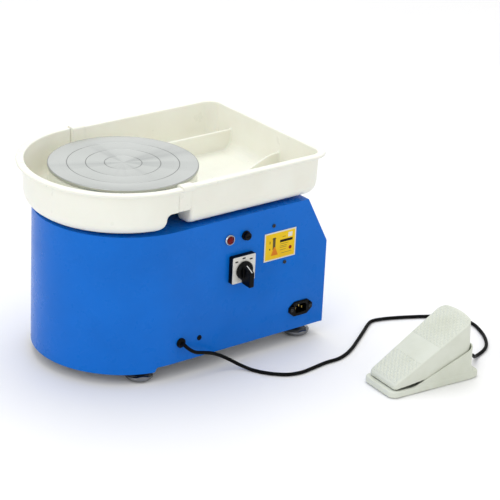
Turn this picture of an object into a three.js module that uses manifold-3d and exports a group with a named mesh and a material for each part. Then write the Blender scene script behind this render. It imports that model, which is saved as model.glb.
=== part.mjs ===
// Electric tabletop pottery wheel with a two-piece splash basin and a foot pedal on its own cord.
// Millimetres, +Z up, floor at z = 0. The machine is laid out about its wheel axis and the pedal about
// the middle of its base; at the end the whole group moves so that its origin is the middle of the
// footprint that the machine and the pedal cover together.
import * as THREE from 'three';
import { mergeVertices } from 'three/addons/utils/BufferGeometryUtils.js';
import loadManifold from 'manifold-3d';

const wasm = await loadManifold();
wasm.setup();

// ---- driving dimensions ----------------------------------------------------------------------
const GAP = 0.3; // clearance kept between pieces that touch

const HEAD_TOP = 334; // top of the wheel head above the floor
const HEAD_RADIUS = 125;
const HEAD_EDGE = 5; // thickness of the head at its edge

const SHEET = 1.6; // steel sheet of the housing
const HOUSING = { centre: 0, radius: 150, end: 322.5, corner: 5 };
const HOUSING_TOP = 262.4;
const HOUSING_BOTTOM = 26.4;
const HOUSING_LOW = 18.4; // the round end hangs lower than the rest
const STEP_X = -28; // where the bottom edge steps up
const SLOPE_TOP_X = 277.5; // the square end leans back from here...
const SLOPE_FOOT_Z = 178; // ...down to this height on the end wall
const FLANGE_WIDTH = 13; // inward flange that carries the base plate
const FLANGE_Z = 30.9;

const ROUND_BASIN = { centre: -7, radius: 172, end: 360, corner: 35 }; // goes on past the seam
const SQUARE_BASIN = { centre: -12, radius: 168, end: 313, corner: 35 };
const BASIN_TOP = 344;
const BASIN_BOTTOM = 266.5;
const BASIN_FOOT = HOUSING_TOP + GAP; // ring under the collar that the basin stands on
const BASIN_WALL = 4;
const RIM_WIDTH = 15.2; // flat top of the rim
const LIP_DEPTH = 5; // rim's turned-down lip
const LIP_SETBACK = 12; // wall stands this far inside the lip
const BASIN_DRAFT = 2.8; // how far the wall leans in below the lip
const BASIN_FILLET = 26;
const COLLAR_TOP = HEAD_TOP - HEAD_EDGE - 2;
const COLLAR_RADIUS = 122.5;
const COLLAR_BORE = 119;
const SEAM_GAP = 0.15; // half the gap between the basin's two halves
const LAP_LENGTH = 25; // length of the lap joint at the seam
const LAP_RAISE = 2.5; // how far the lap stands proud
const SADDLE_TOP = 303.5; // raised floor that closes each half at the seam
const RIB_TOP = 308;

const SPINDLE_RADIUS = 9.7;
const BEARING = { bore: 10, radius: 23.5, height: 14 }; // 20 x 47 x 14 ball bearing
const UPPER_BEARING_Z = 250;
const LOWER_BEARING_Z = 152;
const PULLEY_Z = 118; // bottom of both pulleys
const PULLEY_HEIGHT = 24;
const WHEEL_PITCH = 90; // belt's pitch radius on the wheel pulley
const MOTOR_PITCH = 15; // and on the motor pulley
const BELT_THICK = 3.5;
const BELT_HEIGHT = 15;
const MOTOR_X = 205;
const MOTOR_RADIUS = 49;

const FOOT_RADIUS = 23.5;
const FEET = [[-42, -119], [-42, 119], [290, -119], [290, 119]];

const SWITCH = { x: 136.5, z: 171, size: 48, depth: 9 };
const KNOB = { x: 136.5, z: 169 };
const LAMP = { x: 111.5, z: 225, radius: 9.5 };
const FUSE = { x: 145, z: 226, radius: 8.3 };
const LABEL = { x: 219, z: 192.5, width: 67, height: 51 };
const PANEL_SCREWS = [[204, 230], [231, 158.5]];
const INLET = { x: 271, z: 64, width: 51, height: 27 };
const GROMMET = { x: 18.5, z: 61.6, radius: 8.5, proud: 5.5 };
const PLUG_HOLE = { x: 56.5, z: 61.2, radius: 4.5 };

const PEDAL = { x: 355.4, y: -375.9, turn: -0.077, length: 185, width: 83.4 };
const PEDAL_PAD = 1.5; // rubber pads under the base
const PEDAL_FLANGE_TOP = 11.5;
const TREADLE_HEEL = -84;
const TREADLE_TOE = 72;
const TREADLE_HEEL_TOP = 20.5;
const TREADLE_SLOPE = 0.583;
const TREADLE_WALL = 2.6;
const GLAND_Z = 19; // height of the cord gland in the toe end
const PIVOT = { x: -2, z: 50, radius: 3 };
const SECTOR_RADIUS = 18; // toothed sector on the treadle
const PINION_RADIUS = 4; // pinion on the speed potentiometer
const POT_ANGLE = -35; // degrees from the pivot to the potentiometer

const CORD_RADIUS = 3;
const CORD_ROUTE = [ // from the grommet along the floor to the back of the pedal
  [18.5, -155.9, 61.6], [18.5, -160, 61.4], [20.2, -165, 58.7], [26.5, -168, 53],
  [36.3, -169, 47], [51.9, -169.5, 42.6], [69.3, -170, 37.2], [87.7, -171, 28.2],
  [105.3, -174.5, 17], [119.5, -184, 7.8], [131, -201, 3.2], [141.7, -220.6, 3.2],
  [156, -236.6, 3.2], [173.3, -248.6, 3.2], [195.9, -253.5, 3.2], [223.9, -250.8, 3.2],
  [253.5, -247, 3.2], [280.5, -247, 3.2], [301.6, -241.2, 3.2], [326.3, -228.7, 3.2],
  [354.6, -210.1, 3.2], [388.7, -186.6, 3.2], [415, -168.3, 3.2], [426, -162.8, 3.2],
  [436, -162, 3.2], [446, -164.2, 3.2], [459, -168, 3.2], [487.7, -180.2, 3.2],
  [518.1, -195.5, 3.2], [546, -212.5, 3.2], [566, -234, 3.2], [573.5, -254, 3.2],
  [573, -273, 3.2], [566.3, -293, 3.2], [559, -309.7, 3.2], [549.8, -325.1, 3.2],
  [539, -339, 3.2], [527, -350.2, 3.2], [513, -358.2, 3.2], [498.5, -364, 3.4],
  [484.5, -370, 5.4], [474.5, -376.8, 9.8], [467.4, -381.8, 15.2], [462.3, -383.9, 18.7],
  [457.7, -383.78, 19],
];

// ---- finishes --------------------------------------------------------------------------------
const finish = (color, roughness, metalness) =>
  new THREE.MeshStandardMaterial({ color, roughness, metalness });
const BLUE_PAINT = finish(0x286ed0, 0.28, 0.1);
const CREAM_ABS = finish(0xebebdf, 0.38, 0);
const PEDAL_PLASTIC = finish(0xd8dcce, 0.5, 0);
const ALUMINIUM = finish(0xd2d4d0, 0.32, 0.9);
const STEEL = finish(0x9b9fa3, 0.35, 0.9);
const CHROME = finish(0xcfd2d6, 0.12, 1);
const CAST_IRON = finish(0x4a4d50, 0.6, 0.6);
const BLACK_PLASTIC = finish(0x141414, 0.45, 0);
const RUBBER = finish(0x0f0f0f, 0.7, 0);
const RED_LENS = finish(0x8c2a1c, 0.2, 0);
const YELLOW_LABEL = finish(0xe6c83c, 0.5, 0);
const SILVER_PLATE = finish(0xd9d8d2, 0.4, 0.4);
const BRASS = finish(0xc8a850, 0.3, 0.9);
const CIRCUIT_GREEN = finish(0x2f6b45, 0.55, 0);

// ---- solid helpers ---------------------------------------------------------------------------
// Turns a closed three.js geometry into a solid that can be cut and joined.
function solid(geometry) {
  const bare = geometry.clone();
  bare.deleteAttribute('normal');
  bare.deleteAttribute('uv');
  const merged = mergeVertices(bare, 1e-4);
  const source = merged.index.array;
  const triangles = [];
  for (let i = 0; i < source.length; i += 3) {
    const [a, b, c] = [source[i], source[i + 1], source[i + 2]];
    if (a !== b && b !== c && c !== a) triangles.push(a, b, c);
  }
  return new wasm.Manifold(new wasm.Mesh({
    numProp: 3,
    vertProperties: new Float32Array(merged.attributes.position.array),
    triVerts: new Uint32Array(triangles),
  }));
}

function geometryOf(body) {
  const mesh = body.getMesh();
  const geometry = new THREE.BufferGeometry();
  geometry.setAttribute('position', new THREE.BufferAttribute(mesh.vertProperties, 3));
  geometry.setIndex(new THREE.BufferAttribute(mesh.triVerts, 1));
  geometry.computeVertexNormals();
  return geometry;
}

const join = (...bodies) => bodies.reduce((whole, body) => whole.add(body));
const cut = (body, ...tools) => tools.reduce((rest, tool) => rest.subtract(tool), body);

// A block by the middle of its plan and its lowest and highest z.
const block = (x, y, width, depth, low, high) =>
  solid(new THREE.BoxGeometry(width, depth, high - low).translate(x, y, (low + high) / 2));

// An upright rod or tapered rod.
const rod = (x, y, radius, low, high, sides = 20, topRadius = radius) =>
  solid(new THREE.CylinderGeometry(topRadius, radius, high - low, sides)
    .rotateX(Math.PI / 2).translate(x, y, (low + high) / 2));

// A solid of revolution about Z; its outline runs anticlockwise in (radius, z).
const turned = (outline, sides = 20) =>
  solid(new THREE.LatheGeometry(outline.map(([r, z]) => new THREE.Vector2(r, z)), sides)
    .rotateX(Math.PI / 2));

const polygon = (points) => new THREE.Shape(points.map(([x, y]) => new THREE.Vector2(x, y)));

const prism = (shape, low, high, curveSegments = 6) =>
  solid(new THREE.ExtrudeGeometry(shape, { depth: high - low, bevelEnabled: false, curveSegments })
    .translate(0, 0, low));

// A profile drawn in x and z and run across the object, centred on y = 0.
const across = (shape, width, curveSegments = 5) =>
  solid(new THREE.ExtrudeGeometry(shape, { depth: width, bevelEnabled: false, curveSegments })
    .rotateX(Math.PI / 2).translate(0, width / 2, 0));

// A closed skin through rings of equal length, lowest first, each anticlockwise from above.
function loft(rings) {
  const count = rings[0].length;
  const positions = rings.flat().flatMap((p) => [p.x, p.y, p.z]);
  const index = [];
  for (let k = 0; k < rings.length - 1; k += 1) {
    for (let i = 0; i < count; i += 1) {
      const next = (i + 1) % count;
      const [a, b] = [k * count + i, k * count + next];
      const [c, d] = [(k + 1) * count + next, (k + 1) * count + i];
      index.push(a, b, c, a, c, d);
    }
  }
  const cap = (ring, start, up) => {
    const flat = ring.map((p) => new THREE.Vector2(p.x, p.y));
    for (const [a, b, c] of THREE.ShapeUtils.triangulateShape(flat, [])) {
      index.push(start + a, start + (up ? b : c), start + (up ? c : b));
    }
  };
  cap(rings[0], 0, false);
  cap(rings.at(-1), (rings.length - 1) * count, true);
  const geometry = new THREE.BufferGeometry();
  geometry.setAttribute('position', new THREE.Float32BufferAttribute(positions, 3));
  geometry.setIndex(index);
  return solid(geometry);
}

function arcPoints(x, y, radius, from, to, steps) {
  return Array.from({ length: steps + 1 }, (_, i) => {
    const angle = from + (to - from) * (i / steps);
    return new THREE.Vector2(x + radius * Math.cos(angle), y + radius * Math.sin(angle));
  });
}

// Plan of the housing and the basin: a half circle at the wheel end, straight sides and a square
// end with round corners, pulled in by `inset`.
function tubOutline({ centre, radius, end, corner }, inset) {
  const half = radius - inset;
  const right = end - inset;
  const round = Math.max(corner - inset, 2.5);
  const quarter = Math.PI / 2;
  return [
    ...arcPoints(right - round, round - half, round, -quarter, 0, 4),
    ...arcPoints(right - round, half - round, round, 0, quarter, 4),
    ...arcPoints(centre, 0, half, quarter, 3 * quarter, 26),
  ];
}

const tubLoft = (plan, levels) =>
  loft(levels.map(([z, inset]) => tubOutline(plan, inset).map((p) => new THREE.Vector3(p.x, p.y, z))));

function place(parent, name, body, material) {
  const mesh = new THREE.Mesh(geometryOf(body), material);
  mesh.name = name;
  parent.add(mesh);
  return mesh;
}

// ---- groups ----------------------------------------------------------------------------------
const object = new THREE.Group();
const machine = new THREE.Group();
const pedal = new THREE.Group();
pedal.position.set(PEDAL.x, PEDAL.y, 0);
pedal.rotation.z = PEDAL.turn;
const cords = new THREE.Group();
object.add(machine, pedal, cords);

// Fittings of the control wall: x along the wall, y up from the floor, z out of the wall.
const wall = new THREE.Group();
wall.position.y = -HOUSING.radius;
wall.rotation.x = Math.PI / 2;
machine.add(wall);

// ---- housing ---------------------------------------------------------------------------------
const BEARING_BOLTS = [45, 135, 225, 315].map((degrees) => {
  const angle = THREE.MathUtils.degToRad(degrees);
  return [43 * Math.cos(angle), 43 * Math.sin(angle)];
});

// Everything beyond the leaning panel of the square end, moved in by `inset`.
function slopeWedge(inset) {
  const run = HOUSING.end - SLOPE_TOP_X;
  const rise = HOUSING_TOP - SLOPE_FOOT_Z;
  const length = Math.hypot(run, rise);
  const [dx, dz] = [-(inset * rise) / length, -(inset * run) / length];
  const top = [SLOPE_TOP_X - run / 4 + dx, HOUSING_TOP + rise / 4 + dz];
  const foot = [HOUSING.end + run / 4 + dx, SLOPE_FOOT_Z - rise / 4 + dz];
  return across(polygon([foot, [400, foot[1]], [400, top[1]], top]), 400);
}

function stepCut() {
  const round = 4;
  const shape = new THREE.Shape();
  shape.moveTo(STEP_X - round, 0);
  shape.lineTo(400, 0);
  shape.lineTo(400, HOUSING_BOTTOM);
  shape.lineTo(STEP_X + round, HOUSING_BOTTOM);
  shape.absarc(STEP_X + round, HOUSING_LOW + round, round, Math.PI / 2, Math.PI, false);
  shape.absarc(STEP_X - round, HOUSING_LOW + round, round, 0, -Math.PI / 2, true);
  return across(shape, 400, 3);
}

const wallHole = (x, z, radius, sides = 16) =>
  solid(new THREE.CylinderGeometry(radius, radius, 12, sides).translate(x, -HOUSING.radius, z));

function makeHousing() {
  const outside = tubLoft(HOUSING, [
    [HOUSING_LOW, 0], [HOUSING_TOP - 5, 0], [HOUSING_TOP - 1.5, 1.5], [HOUSING_TOP, 5],
  ]);
  const inside = tubLoft(HOUSING, [
    [0, SHEET], [HOUSING_TOP - 5, SHEET], [HOUSING_TOP - SHEET, SHEET + 4],
  ]);
  const flange = cut(
    tubLoft(HOUSING, [[FLANGE_Z, SHEET / 2], [FLANGE_Z + SHEET, SHEET / 2]]),
    tubLoft(HOUSING, [[0, FLANGE_WIDTH], [60, FLANGE_WIDTH]]),
  );
  const skin = cut(cut(outside, slopeWedge(0)), cut(inside, slopeWedge(SHEET)), stepCut());
  return cut(
    join(skin, flange),
    rod(0, 0, 28, 250, 270, 24),
    ...BEARING_BOLTS.map(([x, y]) => rod(x, y, 4.2, 250, 270, 8)),
    ...PANEL_SCREWS.map(([x, z]) => wallHole(x, z, 2, 8)),
    wallHole(SWITCH.x, SWITCH.z, 11),
    wallHole(LAMP.x, LAMP.z, 6.5),
    wallHole(FUSE.x, FUSE.z, 6.5),
    wallHole(GROMMET.x, GROMMET.z, 6.7),
    wallHole(PLUG_HOLE.x, PLUG_HOLE.z, 3.5, 10),
    block(INLET.x, -HOUSING.radius, 29, 12, INLET.z - 11, INLET.z + 11),
  );
}
place(machine, 'housing_shell', makeHousing(), BLUE_PAINT);

const basePlate = cut(
  tubLoft(HOUSING, [[FLANGE_Z - 2.3, SHEET + 0.6], [FLANGE_Z - GAP, SHEET + 0.6]]),
  ...FEET.map(([x, y]) => rod(x, y, 4.4, 20, 40, 12)),
);
place(machine, 'base_plate', basePlate, STEEL);

// ---- levelling feet --------------------------------------------------------------------------
const footCup = turned([
  [0, 0], [15, 0], [20.5, 1.8], [FOOT_RADIUS, 5.5], [FOOT_RADIUS, 9], [19.5, 12.6], [10.5, 15.6],
  [4, 16.6], [4, 42], [0, 42],
], 18);
const levellingFoot = join(footCup, rod(0, 0, 7.5, FLANGE_Z - 7.8, FLANGE_Z - 2.6, 6));
FEET.forEach(([x, y], i) => {
  const foot = place(machine, `levelling_foot_${i + 1}`, levellingFoot, CHROME);
  foot.position.set(x, y, 0);
});

// ---- wheel head, spindle and bearings --------------------------------------------------------
const headUnder = HEAD_TOP - HEAD_EDGE;
const HEAD_SEAT = 319.3;
place(machine, 'wheel_head', turned([
  [0, HEAD_SEAT], [48, HEAD_SEAT], [52, HEAD_SEAT + 4.5], [110, headUnder - 3.5], [117, headUnder],
  [HEAD_RADIUS - 1, headUnder], [HEAD_RADIUS, headUnder + 1], [HEAD_RADIUS, HEAD_TOP - 1],
  [HEAD_RADIUS - 1, HEAD_TOP], [0, HEAD_TOP],
], 52), ALUMINIUM);

place(machine, 'head_flange', turned([
  [10, 286], [19, 286], [19, 309], [46, 311], [46, HEAD_SEAT - GAP], [10, HEAD_SEAT - GAP], [10, 286],
]), STEEL);

place(machine, 'spindle', turned([
  [0, 110], [SPINDLE_RADIUS, 110], [SPINDLE_RADIUS, LOWER_BEARING_Z + BEARING.height + GAP],
  [12.5, LOWER_BEARING_Z + BEARING.height + GAP], [12.5, UPPER_BEARING_Z - GAP],
  [SPINDLE_RADIUS, UPPER_BEARING_Z - GAP], [SPINDLE_RADIUS, HEAD_SEAT - 0.8], [0, HEAD_SEAT - 0.8],
], 18), STEEL);

const bearingRing = (low) => turned([
  [BEARING.bore, low], [BEARING.radius, low], [BEARING.radius, low + BEARING.height],
  [BEARING.bore, low + BEARING.height], [BEARING.bore, low],
], 24);
place(machine, 'upper_bearing', bearingRing(UPPER_BEARING_Z), STEEL);
place(machine, 'lower_bearing', bearingRing(LOWER_BEARING_Z), STEEL);

const bearingHousing = cut(
  turned([
    [23.8, 150], [31, 150], [31, 246], [36, 252], [55, 252], [55, HOUSING_TOP - SHEET - GAP],
    [27.6, HOUSING_TOP - SHEET - GAP], [27.6, 270], [23.8, 270], [23.8, 150],
  ], 24),
  ...BEARING_BOLTS.map(([x, y]) => rod(x, y, 4.2, 240, 265, 8)),
);
place(machine, 'bearing_housing', bearingHousing, CAST_IRON);
BEARING_BOLTS.forEach(([x, y], i) => {
  const head = rod(x, y, 6.5, HOUSING_TOP + GAP, HOUSING_TOP + 5.3, 6);
  const shank = rod(x, y, 3.8, 249, 264, 12);
  place(machine, `bearing_bolt_${i + 1}`, join(head, shank), STEEL);
});

// ---- belt drive ------------------------------------------------------------------------------
const pulleyTop = PULLEY_Z + PULLEY_HEIGHT;
const groove = WHEEL_PITCH - BELT_THICK / 2 - GAP;
place(machine, 'driven_pulley', turned([
  [10, PULLEY_Z], [24, PULLEY_Z], [24, PULLEY_Z + 8], [78, PULLEY_Z + 8], [78, PULLEY_Z],
  [groove + 5, PULLEY_Z], [groove + 5, PULLEY_Z + 2.5], [groove, PULLEY_Z + 3.5],
  [groove, pulleyTop - 3.5], [groove + 5, pulleyTop - 2.5], [groove + 5, pulleyTop], [78, pulleyTop],
  [78, pulleyTop - 8], [24, pulleyTop - 8], [24, pulleyTop], [10, pulleyTop], [10, PULLEY_Z],
], 28), CAST_IRON);

const motorGroove = MOTOR_PITCH - BELT_THICK / 2 - GAP;
const motorPulley = place(machine, 'motor_pulley', turned([
  [5, PULLEY_Z], [17, PULLEY_Z], [17, PULLEY_Z + 2.5], [motorGroove, PULLEY_Z + 3.5],
  [motorGroove, pulleyTop - 3.5], [17, pulleyTop - 2.5], [17, pulleyTop], [5, pulleyTop], [5, PULLEY_Z],
], 16), ALUMINIUM);
motorPulley.position.x = MOTOR_X;

// Belt outline at a radius `offset` outside the pitch line, as two arcs joined by straight runs.
function beltLoop(path, offset) {
  const spread = Math.acos((WHEEL_PITCH - MOTOR_PITCH) / MOTOR_X);
  path.absarc(0, 0, WHEEL_PITCH + offset, spread, 2 * Math.PI - spread, false);
  path.absarc(MOTOR_X, 0, MOTOR_PITCH + offset, -spread, spread, false);
  path.closePath();
  return path;
}
const beltShape = beltLoop(new THREE.Shape(), BELT_THICK / 2);
beltShape.holes.push(beltLoop(new THREE.Path(), -BELT_THICK / 2));
const beltLow = PULLEY_Z + (PULLEY_HEIGHT - BELT_HEIGHT) / 2;
place(machine, 'drive_belt', prism(beltShape, beltLow, beltLow + BELT_HEIGHT, 16), RUBBER);

// ---- motor and its stand ---------------------------------------------------------------------
const MOTOR_PLATE_Z = 106;
const MOTOR_SLOTS = [[-28, -28], [28, -28], [28, 28], [-28, 28]];
const motorBody = cut(
  turned([
    [0, 38], [20, 38], [20, 42], [MOTOR_RADIUS - 4, 42], [MOTOR_RADIUS, 46], [MOTOR_RADIUS, 98],
    [MOTOR_RADIUS - 4, 102], [20, 102], [20, MOTOR_PLATE_Z + 5], [0, MOTOR_PLATE_Z + 5],
  ], 28),
  rod(0, 0, 5.2, 80, 130, 16),
);
place(machine, 'motor', motorBody, CAST_IRON).position.x = MOTOR_X;
place(machine, 'motor_shaft', rod(0, 0, 4.7, 80.5, pulleyTop + 3, 16), STEEL).position.x = MOTOR_X;

const standLeg = (x, y) => join(
  block(x, y, 14, 14, FLANGE_Z, MOTOR_PLATE_Z + 1), block(x, y, 26, 26, FLANGE_Z, FLANGE_Z + 4),
);
const motorStand = cut(
  join(
    block(0, 0, 140, 124, MOTOR_PLATE_Z, MOTOR_PLATE_Z + 4),
    ...[[-62, -54], [62, -54], [62, 54], [-62, 54]].map(([x, y]) => standLeg(x, y)),
  ),
  rod(0, 0, 20.6, 100, 120, 24),
  ...MOTOR_SLOTS.map(([x, y]) => block(x, y, 16, 6, 100, 120)),
);
place(machine, 'motor_stand', motorStand, STEEL).position.x = MOTOR_X;

// ---- speed controller ------------------------------------------------------------------------
const BOARD = { x: 190, y: 102, z: 42, length: 130, width: 66 };
const standoff = (sx, sy) =>
  rod(BOARD.x + sx * 58, BOARD.y + sy * 27, 3.2, FLANGE_Z, BOARD.z - GAP, 8);
place(machine, 'board_tray', join(
  block(BOARD.x, BOARD.y, BOARD.length, BOARD.width, FLANGE_Z, FLANGE_Z + 2),
  standoff(-1, -1), standoff(1, -1), standoff(1, 1), standoff(-1, 1),
), STEEL);
const boardFoot = BOARD.z + 1;
const controlBoard = join(
  block(BOARD.x, BOARD.y, BOARD.length, BOARD.width, BOARD.z, BOARD.z + 1.6),
  rod(BOARD.x - 46, BOARD.y - 14, 11, boardFoot, BOARD.z + 34, 14),
  rod(BOARD.x - 46, BOARD.y + 14, 11, boardFoot, BOARD.z + 34, 14),
  block(BOARD.x - 18, BOARD.y + 14, 20, 16, boardFoot, BOARD.z + 17),
  block(BOARD.x - 18, BOARD.y - 14, 20, 16, boardFoot, BOARD.z + 17),
  block(BOARD.x + 54, BOARD.y, 12, 50, boardFoot, BOARD.z + 12),
);
place(machine, 'control_board', controlBoard, CIRCUIT_GREEN);
const heatSink = join(
  block(BOARD.x + 18, BOARD.y, 44, 58, BOARD.z + 1.9, BOARD.z + 7),
  ...[-20, -12, -4, 4, 12, 20].map((dx) =>
    block(BOARD.x + 18 + dx, BOARD.y, 2, 58, BOARD.z + 6, BOARD.z + 30)),
);
place(machine, 'heat_sink', heatSink, ALUMINIUM);

// ---- splash basin ----------------------------------------------------------------------------
// Levels of a tub skin, as [z, inset]: a floor, a round foot and a leaning wall up to `top`.
function tubLevels(floorZ, wallInset, topInset, top, fillet) {
  const levels = [];
  for (let i = 0; i <= 4; i += 1) {
    const angle = (i / 4) * (Math.PI / 2);
    levels.push([floorZ + fillet * (1 - Math.cos(angle)), wallInset + fillet * (1 - Math.sin(angle))]);
  }
  levels.push([top, topInset]);
  return levels;
}

function basinOutside(plan, proud) {
  const wallFoot = LIP_SETBACK + BASIN_DRAFT - proud;
  const lipZ = BASIN_TOP - LIP_DEPTH;
  return tubLoft(plan, [
    ...tubLevels(BASIN_BOTTOM, wallFoot, LIP_SETBACK - proud, lipZ, BASIN_FILLET),
    [lipZ, 2.5 - proud], [lipZ + 1.5, 1.1 - proud], [BASIN_TOP + proud - 1.6, -proud],
    [BASIN_TOP + proud, 1.6 - proud],
  ]);
}

function basinInside(plan, proud) {
  const wallFoot = LIP_SETBACK + BASIN_DRAFT + BASIN_WALL + proud;
  const levels = tubLevels(
    BASIN_BOTTOM + BASIN_WALL, wallFoot, RIM_WIDTH + proud, BASIN_TOP, BASIN_FILLET - BASIN_WALL,
  );
  return tubLoft(plan, [...levels, [BASIN_TOP + 10, RIM_WIDTH + proud]]);
}

// Tunnel under the seam: swept up from the round half's foot, nearly upright on the square half.
const ARCH_ROOF = 299.4;
function archCut() {
  const shape = new THREE.Shape();
  shape.moveTo(-42.5, BASIN_FOOT - 10);
  shape.lineTo(39, BASIN_FOOT - 10);
  shape.lineTo(39, BASIN_BOTTOM);
  shape.absarc(39, BASIN_BOTTOM + 7.5, 7.5, -Math.PI / 2, -Math.PI, true);
  shape.absarc(23.5, ARCH_ROOF - 3, 3, 0, Math.PI / 2, false);
  shape.absarc(-12.7, ARCH_ROOF - 9, 9, Math.PI / 2, Math.PI, false);
  shape.absarc(-42.5, BASIN_BOTTOM + 20, 20, 0, -Math.PI / 2, true);
  return across(shape, 400, 5);
}

function saddle() {
  const [left, right, round] = [-28, 32, 12];
  const shape = new THREE.Shape();
  shape.moveTo(left, BASIN_BOTTOM);
  shape.lineTo(right, BASIN_BOTTOM);
  shape.absarc(right - round, SADDLE_TOP - round, round, 0, Math.PI / 2, false);
  shape.absarc(left + round, SADDLE_TOP - round, round, Math.PI / 2, Math.PI, false);
  return across(shape, 400, 4);
}

function makeBasin(plan) {
  const collar = rod(0, 0, COLLAR_RADIUS + 2, BASIN_BOTTOM - 1, COLLAR_TOP, 48, COLLAR_RADIUS);
  const foot = rod(0, 0, COLLAR_RADIUS + 2, BASIN_FOOT, BASIN_BOTTOM + 1, 48);
  const trough = cut(basinInside(plan, 0), collar, saddle());
  const bore = rod(0, 0, COLLAR_BORE, 200, 400, 48);
  return cut(join(cut(basinOutside(plan, 0), trough), foot), archCut(), bore);
}

// Lap joint of the square half: its end stands proud of the wall over a short length.
function lapBand() {
  const band = cut(basinOutside(SQUARE_BASIN, LAP_RAISE), basinInside(SQUARE_BASIN, LAP_RAISE));
  return band.intersect(block(LAP_LENGTH / 2, 0, LAP_LENGTH, 400, ARCH_ROOF, 400));
}

// Ribs that divide the square half into a middle tray and two tool trays.
function trayRibs() {
  const [low, half] = [BASIN_BOTTOM + 1, 2];
  const farRib = block(203, 95, 192, 2 * half, low, RIB_TOP);
  const route = new THREE.CatmullRomCurve3([
    [299, -40], [276, -43], [252, -53], [216, -71], [180, -89], [146, -108], [122, -128], [112, -150],
  ].map(([x, y]) => new THREE.Vector3(x, y, 0)), false, 'centripetal').getSpacedPoints(18);
  const side = (i, offset) => {
    const ahead = route[Math.min(i + 1, route.length - 1)];
    const run = ahead.clone().sub(route[Math.max(i - 1, 0)]).normalize();
    return new THREE.Vector2(route[i].x - run.y * offset, route[i].y + run.x * offset);
  };
  const edge = (offset) => route.map((_, i) => side(i, offset));
  const nearRib = prism(new THREE.Shape([...edge(half), ...edge(-half).reverse()]), low, RIB_TOP);
  return join(farRib, nearRib).intersect(basinOutside(SQUARE_BASIN, 1));
}

const keep = (low, high) => block((low + high) / 2, 0, high - low, 400, 200, 400);
place(machine, 'basin_front', makeBasin(ROUND_BASIN).intersect(keep(-200, -SEAM_GAP)), CREAM_ABS);
const basinRear = join(
  makeBasin(SQUARE_BASIN).intersect(keep(SEAM_GAP, 350)), lapBand().intersect(keep(SEAM_GAP, 350)),
  trayRibs(),
);
place(machine, 'basin_rear', basinRear, CREAM_ABS);

// ---- control wall ----------------------------------------------------------------------------
function roundedSquare(size, corner) {
  const half = size / 2 - corner;
  const quarter = Math.PI / 2;
  return new THREE.Shape([
    ...arcPoints(half, -half, corner, -quarter, 0, 3), ...arcPoints(half, half, corner, 0, quarter, 3),
    ...arcPoints(-half, half, corner, quarter, 2 * quarter, 3),
    ...arcPoints(-half, -half, corner, 2 * quarter, 3 * quarter, 3),
  ]);
}
const onWall = (name, { x, z }, body, material) => {
  const mesh = place(wall, name, body, material);
  mesh.position.set(x, z, 0);
  return mesh;
};

const switchFront = SWITCH.depth + GAP;
onWall('switch_block', SWITCH, join(
  block(0, 0, 44, 44, -48, -SHEET - 1), rod(0, 0, 10.6, -SHEET - 2, 0),
), BLACK_PLASTIC);
onWall('switch_base', SWITCH, cut(
  prism(roundedSquare(SWITCH.size, 2), GAP, switchFront), rod(0, KNOB.z - SWITCH.z, 5, 0, 20, 16),
), BLACK_PLASTIC);
onWall('switch_plate', SWITCH, cut(
  prism(roundedSquare(SWITCH.size - 1, 2), switchFront + GAP, switchFront + 1.3),
  rod(0, KNOB.z - SWITCH.z, 5, 0, 20, 16),
), SILVER_PLATE);

// Knob with a round skirt and a lever that hangs well below it and leans back at its upper end.
const knobFoot = switchFront + 1.6;
function knobBody() {
  const lever = loft([
    [12.9, -22.5, 13, 5.6], [16.8, -23.2, 10.8, 5.3], [31.5, -24.4, 3.4, 4.9], [34, -23, 1.4, 3.7],
  ].map(([z, foot, head, thick]) => [
    [thick, foot], [thick, head], [-thick, head], [-thick, foot],
  ].map(([x, y]) => new THREE.Vector3(x, y, z))));
  const skirt = turned([
    [0, knobFoot - 8], [4.6, knobFoot - 8], [4.6, knobFoot], [16.3, knobFoot], [16.3, knobFoot + 3.6],
    [14.3, knobFoot + 6.4], [0, knobFoot + 6.4],
  ], 24);
  return join(skirt, lever);
}
onWall('selector_knob', KNOB, knobBody(), BLACK_PLASTIC);

onWall('lamp_bezel', LAMP, turned([
  [0, -24], [6.2, -24], [6.2, GAP], [LAMP.radius, GAP], [LAMP.radius, 1.6], [LAMP.radius - 1.4, 3.4],
  [6.6, 3.4], [6.6, 1.6], [0, 1.6],
], 20), CHROME);
onWall('lamp_lens', LAMP, turned([
  [0, 1.9], [6.3, 1.9], [6.3, 3.6], [4.4, 5.6], [0, 6.5],
], 18), RED_LENS);

onWall('fuse_holder', FUSE, turned([
  [0, -30], [6.2, -30], [6.2, GAP], [FUSE.radius, GAP], [FUSE.radius, 2.4], [7.6, 3], [0, 3],
], 20), BLACK_PLASTIC);
onWall('fuse_cap', FUSE, cut(
  turned([[0, 3.3], [6.8, 3.3], [6.8, 7.4], [6, 8.4], [0, 8.4]], 18), block(0, 0, 9, 1.6, 7, 10),
), BLACK_PLASTIC);

place(wall, 'label_plate', block(LABEL.x, LABEL.z, LABEL.width, LABEL.height, GAP, 1.1), YELLOW_LABEL);
const panelScrew = ([x, y]) => cut(
  join(rod(x, y, 3.3, GAP, 2, 14, 2.4), rod(x, y, 1.7, -6, 1, 6)),
  block(x, y, 4.4, 0.8, 1.4, 3), block(x, y, 0.8, 4.4, 1.4, 3),
);
PANEL_SCREWS.forEach((spot, i) => place(wall, `panel_screw_${i + 1}`, panelScrew(spot), STEEL));

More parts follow.
